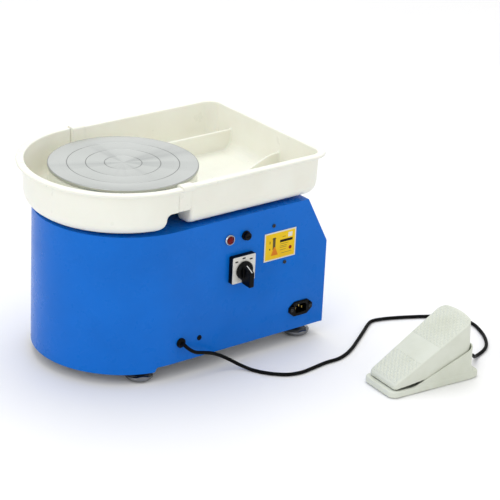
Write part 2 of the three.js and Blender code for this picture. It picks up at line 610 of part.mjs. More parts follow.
// Mains inlet: a stretched hexagon with a screw in each ear and three blades in its socket.
const halfInlet = INLET.width / 2;
const inletFace = polygon([
  [-halfInlet, -4], [-halfInlet + 3, -6.5], [-14, -13.5], [14, -13.5], [halfInlet - 3, -6.5],
  [halfInlet, -4], [halfInlet, 4], [halfInlet - 3, 6.5], [14, 13.5], [-14, 13.5],
  [-halfInlet + 3, 6.5], [-halfInlet, 4],
]);
const inletSocket = polygon([[-12, -8], [12, -8], [12, 4.5], [8.5, 8], [-8.5, 8], [-12, 4.5]]);
const INLET_EARS = [-20, 20];
onWall('power_inlet', INLET, cut(
  join(prism(inletFace, GAP, 3), block(0, 0, 28, 21, -22, 1)),
  prism(inletSocket, -16, 5),
  ...INLET_EARS.map((x) => rod(x, 0, 2, -1, 5, 10)),
), BLACK_PLASTIC);
const inletPin = (x, y) => block(x, y, 2, 4, -15, -3);
onWall('inlet_contacts', INLET, join(
  block(0, 0, 20, 12, -15.7, -14), inletPin(-7, -1.5), inletPin(0, 2.5), inletPin(7, -1.5),
), BRASS);
const inletScrew = (x) => join(rod(x, 0, 3.1, 3.3, 4.6, 14, 2.4), rod(x, 0, 1.6, GAP, 3.6, 8));
INLET_EARS.forEach((x, i) => onWall(`inlet_screw_${i + 1}`, INLET, inletScrew(x), STEEL));

onWall('cord_grommet', GROMMET, turned([
  [0, -6], [8.2, -6], [8.2, -SHEET - GAP], [6.4, -SHEET - GAP], [6.4, GAP], [GROMMET.radius, GAP],
  [GROMMET.radius, 2.4], [6.6, 4.6], [4.6, GROMMET.proud], [0, GROMMET.proud],
], 16), RUBBER);
onWall('hole_plug', PLUG_HOLE, turned([
  [0, -4], [3.2, -4], [3.2, GAP], [PLUG_HOLE.radius, GAP], [PLUG_HOLE.radius, 1], [3, 1.9], [0, 2.1],
], 14), RUBBER);

// ---- foot pedal ------------------------------------------------------------------------------
// Plan with straight sides that widen from heel to toe, round corners and a bowed toe end.
function treadleOutline(heel, toe, heelHalf, toeHalf, bow) {
  const quarter = Math.PI / 2;
  const [heelRound, toeRound] = [7, 13];
  const right = [
    ...arcPoints(heel + heelRound, -heelHalf + heelRound, heelRound, -2 * quarter, -quarter, 3),
    ...arcPoints(toe - bow - toeRound, -toeHalf + toeRound, toeRound, -quarter, -0.25, 4),
  ];
  const end = [-0.55, 0, 0.55].map((t) => new THREE.Vector2(toe - bow * t * t * 1.2, t * toeHalf));
  const left = right.map((p) => new THREE.Vector2(p.x, -p.y)).reverse();
  return [...right, ...end, ...left];
}

const treadleTop = (x) => TREADLE_HEEL_TOP + TREADLE_SLOPE * (x - TREADLE_HEEL);
const treadleFoot = (x) => 13 + 0.105 * (x - TREADLE_HEEL);
const ring = (outline, height) => outline.map((p) => new THREE.Vector3(p.x, p.y, height(p.x)));

// The treadle's skin, pulled in by `wallInset` and lowered by `drop`; `extra` lengthens it downwards.
function treadleSkin(wallInset, drop, extra) {
  const [heel, toe] = [TREADLE_HEEL + wallInset, TREADLE_TOE - wallInset];
  const foot = treadleOutline(heel + 0.5, toe + 4.5, 36.2 - wallInset, 37.5 - wallInset, 4);
  const waist = treadleOutline(heel + 0.3, toe + 4.5, 36 - wallInset, 38.2 - wallInset, 4.4);
  const shoulder = treadleOutline(heel, toe, 35.4 - wallInset, 42.3 - wallInset, 5);
  const crown = treadleOutline(heel + 2, toe - 2, 33.4 - wallInset, 40.3 - wallInset, 5);
  return loft([
    ring(foot, (x) => treadleFoot(x) - extra),
    ring(waist, (x) => 0.58 * treadleFoot(x) + 0.42 * (treadleTop(x) - drop)),
    ring(shoulder, (x) => treadleTop(x) - 2 - drop),
    ring(crown, (x) => treadleTop(x) - drop),
  ]);
}

const acrossRod = (x, z, radius, low, high, sides = 16) =>
  solid(new THREE.CylinderGeometry(radius, radius, high - low, sides).translate(x, (low + high) / 2, z));

// A gear outline about (0, 0); every second point lies `depth` inside the tips.
const toothed = (radius, depth, from, step, count) => Array.from({ length: count }, (_, i) => {
  const angle = THREE.MathUtils.degToRad(from + i * step);
  const reach = radius - (i % 2 ? depth : 0);
  return [reach * Math.cos(angle), reach * Math.sin(angle)];
});
const onPivot = (points, y, thick) => across(polygon(points), thick).translate([PIVOT.x, y, PIVOT.z]);

// Shell with two lugs that hang on the pin, and a toothed sector that drives the potentiometer.
function makeTreadle() {
  const shell = cut(treadleSkin(0, 0, 0), treadleSkin(TREADLE_WALL, TREADLE_WALL, 20));
  const lug = [[-7, -7], [7, -7], [12, 50], [-12, 50]];
  const sector = [...toothed(SECTOR_RADIUS, 1.2, -110, 4.5, 23), [10, 50], [-10, 50]];
  const hangers = join(onPivot(lug, -27, 4), onPivot(lug, 27, 4), onPivot(sector, 14, 4));
  const inner = hangers.intersect(treadleSkin(1, 1, 30));
  return join(shell, cut(inner, acrossRod(PIVOT.x, PIVOT.z, PIVOT.radius + 0.4, -31, 31)));
}
place(pedal, 'pedal_treadle', makeTreadle(), PEDAL_PLASTIC);

// Base: a flat flange with round corners and a low well, highest at the toe, around the treadle.
const roundedPlan = (length, width, corner) => {
  const [hx, hy, quarter] = [length / 2 - corner, width / 2 - corner, Math.PI / 2];
  return [
    ...arcPoints(hx, -hy, corner, -quarter, 0, 5), ...arcPoints(hx, hy, corner, 0, quarter, 5),
    ...arcPoints(-hx, hy, corner, quarter, 2 * quarter, 5),
    ...arcPoints(-hx, -hy, corner, 2 * quarter, 3 * quarter, 5),
  ];
};
function pedalBase() {
  const level = (z, inset, round = 14) =>
    ring(roundedPlan(PEDAL.length - 2 * inset, PEDAL.width - 2 * inset, round - inset), () => z);
  const flange = loft([
    level(PEDAL_PAD, 1.2), level(PEDAL_PAD + 1.5, 0), level(PEDAL_FLANGE_TOP - 2.4, 0),
    level(PEDAL_FLANGE_TOP - 0.7, 0.7), level(PEDAL_FLANGE_TOP, 2.4),
  ]);
  const wellTop = 62; // the well's rim climbs to here at the toe
  const wellFoot = treadleOutline(-70, 88, 39, 41.2, 4);
  const wellRim = treadleOutline(-70, 81, 39.4, 42, 4);
  const well = loft([
    ring(wellFoot, () => PEDAL_FLANGE_TOP - 1), ring(treadleOutline(-70, 82.5, 38.9, 41.1, 4), () => 20),
    ring(wellRim, () => wellTop),
  ]);
  const slope = across(polygon([
    [-100, PEDAL_FLANGE_TOP], [-43.5, PEDAL_FLANGE_TOP], [120, 76], [120, 90], [-100, 90],
  ]), 200);
  const cavity = loft([
    ring(treadleOutline(-81, 78.6, 35.2, 38.6, 4), () => 4.5),
    ring(treadleOutline(-81, 78.6, 37.6, 40.4, 4), () => wellTop),
    ring(treadleOutline(-81, 78.6, 37.6, 40.4, 4), () => 100),
  ]);
  const cheek = (y) => cut(
    block(PIVOT.x, y, 22, 4, 3, PIVOT.z + 7), acrossRod(PIVOT.x, PIVOT.z, PIVOT.radius + GAP, y - 5, y + 5),
  );
  return cut(
    join(cut(join(flange, cut(well, slope)), cavity), cheek(-21), cheek(21)),
    solid(new THREE.CylinderGeometry(4.6, 4.6, 30, 16).rotateZ(Math.PI / 2).translate(82, 0, GLAND_Z)),
  );
}
place(pedal, 'pedal_base', pedalBase(), PEDAL_PLASTIC);

const PADS = [[-72, -28], [-72, 28], [72, -28], [72, 28]];
PADS.forEach(([x, y], i) =>
  place(pedal, `pedal_pad_${i + 1}`, rod(x, y, 8, 0, PEDAL_PAD - GAP, 14), RUBBER));

place(pedal, 'treadle_pin', acrossRod(PIVOT.x, PIVOT.z, PIVOT.radius, -30, 30), STEEL);
const washer = (y) => cut(
  acrossRod(PIVOT.x, PIVOT.z, 7, y - 0.6, y + 0.6, 18), acrossRod(PIVOT.x, PIVOT.z, 3.4, y - 2, y + 2),
);
place(pedal, 'friction_washer_1', washer(-24), BRASS);
place(pedal, 'friction_washer_2', washer(24), BRASS);

// Speed potentiometer on its own foot, with the pinion that the treadle's sector turns.
const potReach = SECTOR_RADIUS + PINION_RADIUS + 0.5;
const potAngle = THREE.MathUtils.degToRad(POT_ANGLE);
const POT = { x: PIVOT.x + potReach * Math.cos(potAngle), z: PIVOT.z + potReach * Math.sin(potAngle) };
place(pedal, 'speed_pot', join(
  acrossRod(POT.x, POT.z, 8, 2, 11, 20), block(POT.x, 6, 14, 8, 4.8, POT.z),
), BLACK_PLASTIC);
place(pedal, 'pot_pinion', across(polygon(toothed(PINION_RADIUS, 0.9, 0, 18, 20)), 4)
  .translate([POT.x, 14, POT.z]), BRASS);

// Cord gland in the well's toe end, a tapered sleeve round the cord.
place(pedal, 'pedal_gland', solid(new THREE.LatheGeometry([
  [0, 79], [4.3, 79], [4.3, 88], [6.6, 88], [6.6, 90], [4.4, 102], [0, 102],
].map(([r, x]) => new THREE.Vector2(r, x)), 20).rotateZ(-Math.PI / 2).translate(0, 0, GLAND_Z)), RUBBER);

// ---- cord ------------------------------------------------------------------------------------
const cordPath = new THREE.CatmullRomCurve3(
  CORD_ROUTE.map(([x, y, z]) => new THREE.Vector3(x, y, z)), false, 'centripetal',
);
const CORD_SIDES = 8;
const lastSide = (2 * Math.PI * (CORD_SIDES - 1)) / CORD_SIDES;
const cordSection = new THREE.Shape(arcPoints(0, 0, CORD_RADIUS, 0, lastSide, CORD_SIDES - 1));
place(cords, 'pedal_cord', solid(
  new THREE.ExtrudeGeometry(cordSection, { steps: 66, bevelEnabled: false, extrudePath: cordPath }),
), RUBBER);

// The origin is the middle of the footprint of the machine and the pedal, cords left out.
object.updateMatrixWorld(true);
const footprint = new THREE.Box3().setFromObject(machine, true).expandByObject(pedal, true);
const middle = footprint.getCenter(new THREE.Vector3());
object.position.set(-middle.x, -middle.y, 0);

export default object;
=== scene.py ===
import math

import bmesh
import bpy
import numpy as np
from mathutils import Matrix, Vector
from mathutils.geometry import tessellate_polygon


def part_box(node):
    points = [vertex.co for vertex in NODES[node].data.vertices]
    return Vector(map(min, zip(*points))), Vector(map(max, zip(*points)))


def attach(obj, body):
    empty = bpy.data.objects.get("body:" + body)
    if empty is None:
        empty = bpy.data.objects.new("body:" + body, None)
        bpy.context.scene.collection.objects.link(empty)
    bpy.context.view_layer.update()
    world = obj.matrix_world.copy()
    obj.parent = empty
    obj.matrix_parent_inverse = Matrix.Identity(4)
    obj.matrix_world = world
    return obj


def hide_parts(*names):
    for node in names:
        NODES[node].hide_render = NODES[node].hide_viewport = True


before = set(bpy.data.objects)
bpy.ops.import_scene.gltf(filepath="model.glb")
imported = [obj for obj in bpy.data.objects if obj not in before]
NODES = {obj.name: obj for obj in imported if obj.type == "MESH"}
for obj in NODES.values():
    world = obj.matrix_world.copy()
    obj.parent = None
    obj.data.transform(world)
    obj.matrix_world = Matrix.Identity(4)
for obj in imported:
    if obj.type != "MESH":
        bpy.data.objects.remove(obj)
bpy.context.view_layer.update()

MM = 0.001


def middle(node):
    low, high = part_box(node)
    return (low + high) / 2


# ---- frames ----
AXIS = Vector((middle("wheel_head").x, middle("wheel_head").y, 0))
HEAD_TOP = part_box("wheel_head")[1].z / MM
MACHINE = Matrix.Translation(AXIS)
HOUSING_RADIUS = 150
PEDAL_TURN = -0.077
PADS = [middle(f"pedal_pad_{i}") for i in (1, 2, 3, 4)]
PEDAL = (Matrix.Translation(Vector((sum(p.x for p in PADS) / 4, sum(p.y for p in PADS) / 4, 0)))
         @ Matrix.Rotation(PEDAL_TURN, 4, "Z"))


def on_wall(x, z):
    """Frame of a fitting on the control wall: x along it, y up, z out of it."""
    return (MACHINE @ Matrix.Translation(Vector((x, -HOUSING_RADIUS, z)) * MM)
            @ Matrix.Rotation(math.pi / 2, 4, "X"))


# Places on the control wall, as (x, z) in the machine's frame.
SWITCH_AT, KNOB_AT, LAMP_AT, FUSE_AT = (136.5, 171), (136.5, 169), (111.5, 225), (145, 226)
LABEL_AT, INLET_AT, GROMMET_AT, PLUG_AT = (219, 192.5), (271, 64), (18.5, 61.6), (56.5, 61.2)


# ---- camera ----
HEADING, TILT, ROLL = 0.676, 0.403, 0.048
FOCAL_PX, VIEW_PX, SENSOR = 2183.58, 500, 36
EYE = Vector((-1932.3, -2753.2, 1285.6 + HEAD_TOP)) * MM + AXIS
ahead = Vector((math.sin(HEADING) * math.cos(TILT), math.cos(HEADING) * math.cos(TILT), -math.sin(TILT)))
side = Vector((math.cos(HEADING), -math.sin(HEADING), 0))
up = side.cross(ahead)
right = side * math.cos(ROLL) + up * math.sin(ROLL)
top = up * math.cos(ROLL) - side * math.sin(ROLL)
camera_data = bpy.data.cameras.new("camera")
camera_data.sensor_width = SENSOR
camera_data.lens = FOCAL_PX / VIEW_PX * SENSOR
camera_data.clip_end = 50
camera = bpy.data.objects.new("camera", camera_data)
camera.matrix_world = Matrix.Translation(EYE) @ Matrix((right, top, -ahead)).transposed().to_4x4()
bpy.context.scene.collection.objects.link(camera)
bpy.context.scene.camera = camera
bpy.context.scene.view_settings.view_transform = "Standard"


# ---- materials ----
def linear(rgb):
    """sRGB bytes as a linear colour."""
    return tuple(c / 12.92 if c <= 0.04045 else ((c + 0.055) / 1.055) ** 2.4
                 for c in (v / 255 for v in rgb)) + (1.0,)


class Finish:
    """A node material, built step by step around one Principled shader."""

    def __init__(self, name, rgb, metallic=0.0, **sockets):
        self.material = bpy.data.materials.new(name)
        self.material.use_nodes = True
        self.tree = self.material.node_tree
        self.shader = self.tree.nodes["Principled BSDF"]
        self.colour = linear(rgb)
        self.material.diffuse_color = self.colour
        self.set(Metallic=metallic, Base_Color=self.colour, **sockets)
        self.place = self.node("ShaderNodeTexCoord").outputs["Object"]

    def set(self, **sockets):
        for name, value in sockets.items():
            self.shader.inputs[name.replace("_", " ")].default_value = value

    def node(self, kind, **settings):
        made = self.tree.nodes.new(kind)
        for name, value in settings.items():
            if name.startswith("in_"):
                key = name[3:]
                made.inputs[int(key) if key.isdigit() else key].default_value = value
            else:
                setattr(made, name, value)
        return made

    def link(self, source, target):
        self.tree.links.new(source, target)
        return target

    def stretched(self, scale):
        """Object coordinates multiplied by `scale` on each axis."""
        made = self.node("ShaderNodeMapping")
        made.inputs["Scale"].default_value = scale
        self.link(self.place, made.inputs["Vector"])
        return made.outputs["Vector"]

    def noise(self, scale, detail=3.0, roughness=0.55, vector=None):
        made = self.node("ShaderNodeTexNoise", in_Scale=scale, in_Detail=detail, in_Roughness=roughness)
        self.link(vector or self.place, made.inputs["Vector"])
        return made.outputs["Fac"]

    def mapped(self, value, low, high, start=0.3, end=0.7):
        made = self.node("ShaderNodeMapRange")
        for key, number in (("From Min", start), ("From Max", end), ("To Min", low), ("To Max", high)):
            made.inputs[key].default_value = number
        self.link(value, made.inputs["Value"])
        return made.outputs["Result"]

    def maths(self, operation, a, b=None):
        made = self.node("ShaderNodeMath", operation=operation)
        for slot, value in ((0, a), (1, b)):
            if value is None:
                continue
            if isinstance(value, (int, float)):
                made.inputs[slot].default_value = value
            else:
                self.link(value, made.inputs[slot])
        return made.outputs[0]

    def tint(self, value, rgb, start=0.4, end=0.7, strength=1.0):
        """Mixes `rgb` into the base colour where `value` is high."""
        mix = self.node("ShaderNodeMix", data_type="RGBA")
        mix.inputs["B"].default_value = linear(rgb)
        self.link(self.mapped(value, 0, strength, start, end), mix.inputs["Factor"])
        base = self.shader.inputs["Base Color"]
        if base.is_linked:
            self.link(base.links[0].from_socket, mix.inputs["A"])
        else:
            mix.inputs["A"].default_value = self.colour
        self.link(mix.outputs["Result"], base)
        return self

    def rough(self, value, low, high, start=0.3, end=0.7):
        self.link(self.mapped(value, low, high, start, end), self.shader.inputs["Roughness"])
        return self

    def bump(self, value, distance, strength=1.0):
        """Adds relief of about `distance` metres."""
        made = self.node("ShaderNodeBump", in_Strength=strength, in_Distance=distance)
        self.link(value, made.inputs["Height"])
        normal = self.shader.inputs["Normal"]
        if normal.is_linked:
            self.link(normal.links[0].from_socket, made.inputs["Normal"])
        self.link(made.outputs["Normal"], normal)
        return self

    def from_axis(self, operation):
        """LENGTH or NORMALIZE of the vector that leads here from the piece's own Z axis."""
        flat = self.node("ShaderNodeVectorMath", operation="MULTIPLY")
        flat.inputs[1].default_value = (1, 1, 0)
        self.link(self.place, flat.inputs[0])
        made = self.node("ShaderNodeVectorMath", operation=operation)
        self.link(flat.outputs["Vector"], made.inputs[0])
        return made.outputs["Value" if operation == "LENGTH" else "Vector"]


def plastic(name, rgb, shade, low, high, grain=900, relief=0.00003, **sockets):
    """Moulded plastic: faint mottling, uneven gloss and a fine surface grain."""
    made = Finish(name, rgb, **sockets)
    made.tint(made.noise(14, 4), shade, 0.42, 0.72)
    made.rough(made.noise(35, 5), low, high)
    return made.bump(made.noise(grain, 2), relief)


def brushed(name, rgb, shade, stretch, low=0.22, high=0.42, relief=0.00002):
    """Metal with grain drawn out along one direction."""
    made = Finish(name, rgb, metallic=1.0)
    grain = made.noise(1, 4, 0.6, made.stretched(stretch))
    made.tint(made.noise(30, 4), shade, 0.4, 0.75)
    made.rough(grain, low, high, 0.25, 0.75)
    return made.bump(grain, relief)


cream = plastic("cream_abs", (242, 242, 231), (238, 237, 225), 0.26, 0.38, 700, 0.000012,
                Coat_Weight=0.12, Coat_Roughness=0.12, Subsurface_Weight=0.04)
pedal_grain = plastic("pedal_plastic", (217, 221, 208), (205, 209, 193), 0.4, 0.55, 1100, 0.00004)
black_gloss = plastic("black_plastic", (4, 4, 5), (9, 9, 10), 0.28, 0.42, 1500, 0.00002,
                      Specular_IOR_Level=0.12)
rubber = plastic("rubber", (4, 4, 4), (8, 8, 9), 0.5, 0.68, 1400, 0.00004, Specular_IOR_Level=0.1)

blue = Finish("blue_paint", (9, 108, 207), Specular_IOR_Level=0.12, Coat_Weight=0.06, Coat_Roughness=0.1)
blue.tint(blue.noise(9, 4), (8, 102, 197), 0.4, 0.75)
blue.rough(blue.noise(45, 4), 0.24, 0.36)
blue.bump(blue.noise(420, 2, 0.5), 0.000025)
blue.bump(blue.noise(9, 2, 0.5), 0.0005)

turned = Finish("wheel_aluminium", (201, 204, 201), metallic=1.0, Anisotropic=0.55,
                Anisotropic_Rotation=0.0)
reach = turned.from_axis("LENGTH")
across_rings = turned.noise(1, 6, 0.7, turned.link(
    turned.maths("MULTIPLY", reach, 2600),
    turned.node("ShaderNodeCombineXYZ").inputs[0]).node.outputs[0])
turned.tint(across_rings, (184, 188, 186), 0.35, 0.75)
# Painted reflection: broad darker sectors round the axis, strongest near the centre, stand in for the light
# and dark sectors that the turned face reflects.
painted_glint_sectors = turned.noise(1.7, 2, 0.5, turned.from_axis("NORMALIZE"))
turned.tint(turned.maths("MULTIPLY", painted_glint_sectors, turned.mapped(reach, 1.0, 0.8, 0.03, 0.11)),
            (158, 162, 161), 0.44, 0.66, 0.6)
# Painted shade: thin dark lines where the radius is a multiple of 31 mm. This lays them on the ring grooves
# and darkens them beyond what their depth gives.
HALF_RING_PITCH = 0.0155
turned.tint(turned.maths("PINGPONG", reach, HALF_RING_PITCH), (104, 107, 107), 0.0009, 0.0003, 0.55)
turned.rough(across_rings, 0.24, 0.42, 0.3, 0.7)
turned.bump(across_rings, 0.00003)
round_about = turned.node("ShaderNodeTangent", direction_type="RADIAL", axis="Z")
turned.link(round_about.outputs[0], turned.shader.inputs["Tangent"])

chrome = Finish("chrome", (188, 191, 196), metallic=1.0)
chrome.tint(chrome.noise(60, 3), (188, 190, 193), 0.5, 0.8)
chrome.rough(chrome.noise(120, 4), 0.06, 0.2)
# Painted shade: a darker copy of the chrome for the feet. It stands in for the shaded housing underside
# that they reflect.
shaded_foot_chrome = Finish("shaded_foot_chrome", (128, 130, 134), metallic=1.0)
shaded_foot_chrome.tint(shaded_foot_chrome.noise(60, 3), (104, 106, 110), 0.5, 0.8)
shaded_foot_chrome.rough(shaded_foot_chrome.noise(120, 4), 0.05, 0.14)
dark_steel = brushed("dark_steel", (74, 76, 78), (52, 54, 56), (60, 60, 1500))
steel = brushed("steel", (176, 178, 181), (150, 152, 155), (60, 60, 1500))
plate_steel = brushed("plate_steel", (182, 184, 186), (158, 160, 162), (1200, 25, 25), 0.3, 0.5)
aluminium = brushed("aluminium", (205, 206, 206), (182, 184, 184), (900, 60, 60), 0.28, 0.45)
brass = brushed("brass", (214, 186, 108), (178, 146, 74), (80, 900, 80), 0.2, 0.38)

iron = Finish("cast_iron", (66, 69, 72), metallic=0.55)
iron.tint(iron.noise(25, 5), (46, 48, 51), 0.35, 0.7)
iron.rough(iron.noise(70, 5), 0.5, 0.75)
iron.bump(iron.noise(420, 4, 0.65), 0.0003)

board = Finish("circuit_board", (34, 92, 58))
tracks = board.node("ShaderNodeTexBrick", in_Scale=220.0)
board.link(board.place, tracks.inputs["Vector"])
board.tint(tracks.outputs["Fac"], (60, 130, 84), 0.2, 0.6)
board.rough(board.noise(80, 3), 0.3, 0.5)

red = plastic("red_lens", (104, 6, 4), (150, 20, 10), 0.08, 0.16, 400, 0.00001,
              Specular_IOR_Level=0.12, Coat_Weight=0.1, Coat_Roughness=0.04)
silver = brushed("silver_plate", (224, 222, 216), (212, 210, 203), (40, 900, 40), 0.34, 0.5, 0.00001)
silver.set(Metallic=0.25)


def printed(name, rgb, shade, specular=0.12):
    """A smooth printed film."""
    return plastic(name, rgb, shade, 0.35, 0.5, 900, 0.00001, Specular_IOR_Level=specular)


film_white = printed("label_white", (226, 224, 214), (216, 213, 200), 0.5)
film_yellow = printed("label_yellow", (240, 200, 36), (228, 184, 34))
film_amber = printed("label_amber", (222, 134, 34), (206, 112, 30))
film_black = printed("label_black", (18, 16, 13), (30, 27, 22))
film_red = printed("label_red", (150, 18, 22), (126, 14, 18))
film_grey = printed("label_grey", (88, 78, 50), (112, 100, 66))
ink_white = printed("knob_line", (232, 232, 228), (214, 214, 208), 0.5)


# ---- meshes ----
def piece(name, mesh_data, place, finish, body, replaces=(), smooth_angle=None):
    """Links a mesh as a piece that rides on `body`. mesh_data is (points in mm, faces)."""
    points, faces = mesh_data[:2]
    mesh = bpy.data.meshes.new(name)
    mesh.from_pydata((np.asarray(points, float) * MM).tolist(), [], [list(map(int, f)) for f in faces])
    mesh.validate()
    mesh.shade_smooth()
    if smooth_angle is not None:
        mesh.set_sharp_from_angle(angle=math.radians(smooth_angle))
    if len(mesh_data) > 2:
        mesh.normals_split_custom_set_from_vertices(np.asarray(mesh_data[2], float).tolist())
    mesh.materials.append(finish.material)
    made = bpy.data.objects.new(name, mesh)
    bpy.context.scene.collection.objects.link(made)
    made.matrix_world = place
    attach(made, body)
    if replaces:
        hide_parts(*replaces)
    return made


def bevelled(made, width, segments=3, angle=30):
    """Rounds the edges sharper than `angle` by `width` mm."""
    modifier = made.modifiers.new("edges", "BEVEL")
    modifier.width = width * MM
    modifier.segments = segments
    modifier.limit_method = "ANGLE"
    modifier.angle_limit = math.radians(angle)
    modifier.harden_normals = True
    return made


def rounded(corners, steps=6, closed=True):
    """An outline from (u, w) or (u, w, radius) corners, each rounded by its radius."""
    out = []
    count = len(corners)
    for i, corner in enumerate(corners):
        here = np.array(corner[:2], float)
        radius = corner[2] if len(corner) > 2 else 0
        if radius <= 0 or (not closed and i in (0, count - 1)):
            out.append(tuple(here))
            continue
        back = np.array(corners[i - 1][:2], float) - here
        on = np.array(corners[(i + 1) % count][:2], float) - here
        back, on = back / np.linalg.norm(back), on / np.linalg.norm(on)
        half = math.acos(max(-1.0, min(1.0, float(back @ on)))) / 2
        if half > math.pi / 2 - 1e-3:
            out.append(tuple(here))
            continue
        centre = here + (back + on) / np.linalg.norm(back + on) * radius / math.sin(half)
        start = here + back * radius / math.tan(half) - centre
        end = here + on * radius / math.tan(half) - centre
        sweep = math.pi - 2 * half
        for k in range(steps + 1):
            t = k / steps
            blend = (math.sin((1 - t) * sweep) * start + math.sin(t * sweep) * end) / math.sin(sweep)
            out.append(tuple(centre + blend))
    return out


def circle(radius, sides):
    return [(radius * math.cos(2 * math.pi * k / sides), radius * math.sin(2 * math.pi * k / sides))
            for k in range(sides)]


def lathe(corners, sides=64, steps=4):
    """A turned body from (radius, z) corners that start and end on the axis or close on themselves."""
    outline = rounded(corners, steps, closed=corners[0][0] > 1e-6)
    points, faces, rows = [], [], []
    for radius, z in outline:
        if radius < 1e-6:
            rows.append([len(points)])
            points.append((0, 0, z))
            continue
        rows.append(list(range(len(points), len(points) + sides)))
        points += [(x, y, z) for x, y in circle(radius, sides)]
    pairs = list(zip(rows, rows[1:]))
    if corners[0][0] > 1e-6:
        pairs.append((rows[-1], rows[0]))
    for a, b in pairs:
        for k in range(sides):
            n = (k + 1) % sides
            face = [a[k % len(a)], a[n % len(a)], b[n % len(b)], b[k % len(b)]]
            face = [v for i, v in enumerate(face) if v != face[i - 1]]
            if len(face) > 2:
                faces.append(face)
    return points, faces


def loft(rings):
    """A closed skin through rings of (x, y, z) points, each with the same count."""
    count = len(rings[0])
    points = [p for ring in rings for p in ring]
    last = (len(rings) - 1) * count
    faces = [(k + i, k + (i + 1) % count, k + count + (i + 1) % count, k + count + i)
             for k in range(0, last, count) for i in range(count)]
    faces += [tuple(reversed(range(count))), tuple(range(last, last + count))]
    return points, faces


def prism(outline, low, high):
    return loft([[(x, y, low) for x, y in outline], [(x, y, high) for x, y in outline]])


def panel(x, y, width, height, low, high):
    """A box between z `low` and `high`, centred on (x, y)."""
    left, right, near, far = x - width / 2, x + width / 2, y - height / 2, y + height / 2
    return prism([(left, near), (right, near), (right, far), (left, far)], low, high)


def moved(mesh_data, offset):
    return [tuple(np.array(p) + offset) for p in mesh_data[0]], mesh_data[1]


def joined(*parts):
    points, faces = [], []
    for part_points, part_faces in parts:
        start = len(points)
        points += list(part_points)
        faces += [tuple(v + start for v in f) for f in part_faces]
    return points, faces


# ---- fields: negative inside the material ----
def soft_join(a, b, k):
    h = np.clip(0.5 + 0.5 * (b - a) / k, 0, 1)
    return b + (a - b) * h - k * h * (1 - h)


def common(a, b, radius):
    """Where a and b overlap, with the edge between them rounded by `radius`."""
    edge = np.hypot(np.maximum(a + radius, 0), np.maximum(b + radius, 0))
    return np.minimum(np.maximum(a, b), -radius) + edge


class Section:
    """Signed distance to a drawn outline, read from a table."""

    def __init__(self, outline, low, high, step=0.5):
        self.low, self.step = np.array(low, float), step
        axes = [np.arange(low[i], high[i] + step, step) for i in (0, 1)]
        u, w = np.meshgrid(*axes, indexing="ij")
        reach, inside = np.full(u.shape, 1e9), np.zeros(u.shape, bool)
        for (u0, w0), (u1, w1) in zip(outline, outline[1:] + outline[:1]):
            du, dw = u1 - u0, w1 - w0
            if abs(du) + abs(dw) < 1e-9:
                continue
            t = np.clip(((u - u0) * du + (w - w0) * dw) / (du * du + dw * dw), 0, 1)
            reach = np.minimum(reach, np.hypot(u - u0 - t * du, w - w0 - t * dw))
            if abs(dw) > 1e-12:
                inside ^= ((w0 > w) != (w1 > w)) & (u < du * (w - w0) / dw + u0)
        self.table = np.where(inside, -reach, reach)

    def __call__(self, u, w):
        size = self.table.shape
        fu = np.clip((u - self.low[0]) / self.step, 0, size[0] - 1.001)
        fw = np.clip((w - self.low[1]) / self.step, 0, size[1] - 1.001)
        iu, iw = fu.astype(int), fw.astype(int)
        fu, fw = fu - iu, fw - iw
        t = self.table
        return ((t[iu, iw] * (1 - fu) + t[iu + 1, iw] * fu) * (1 - fw)
                + (t[iu, iw + 1] * (1 - fu) + t[iu + 1, iw + 1] * fu) * fw)


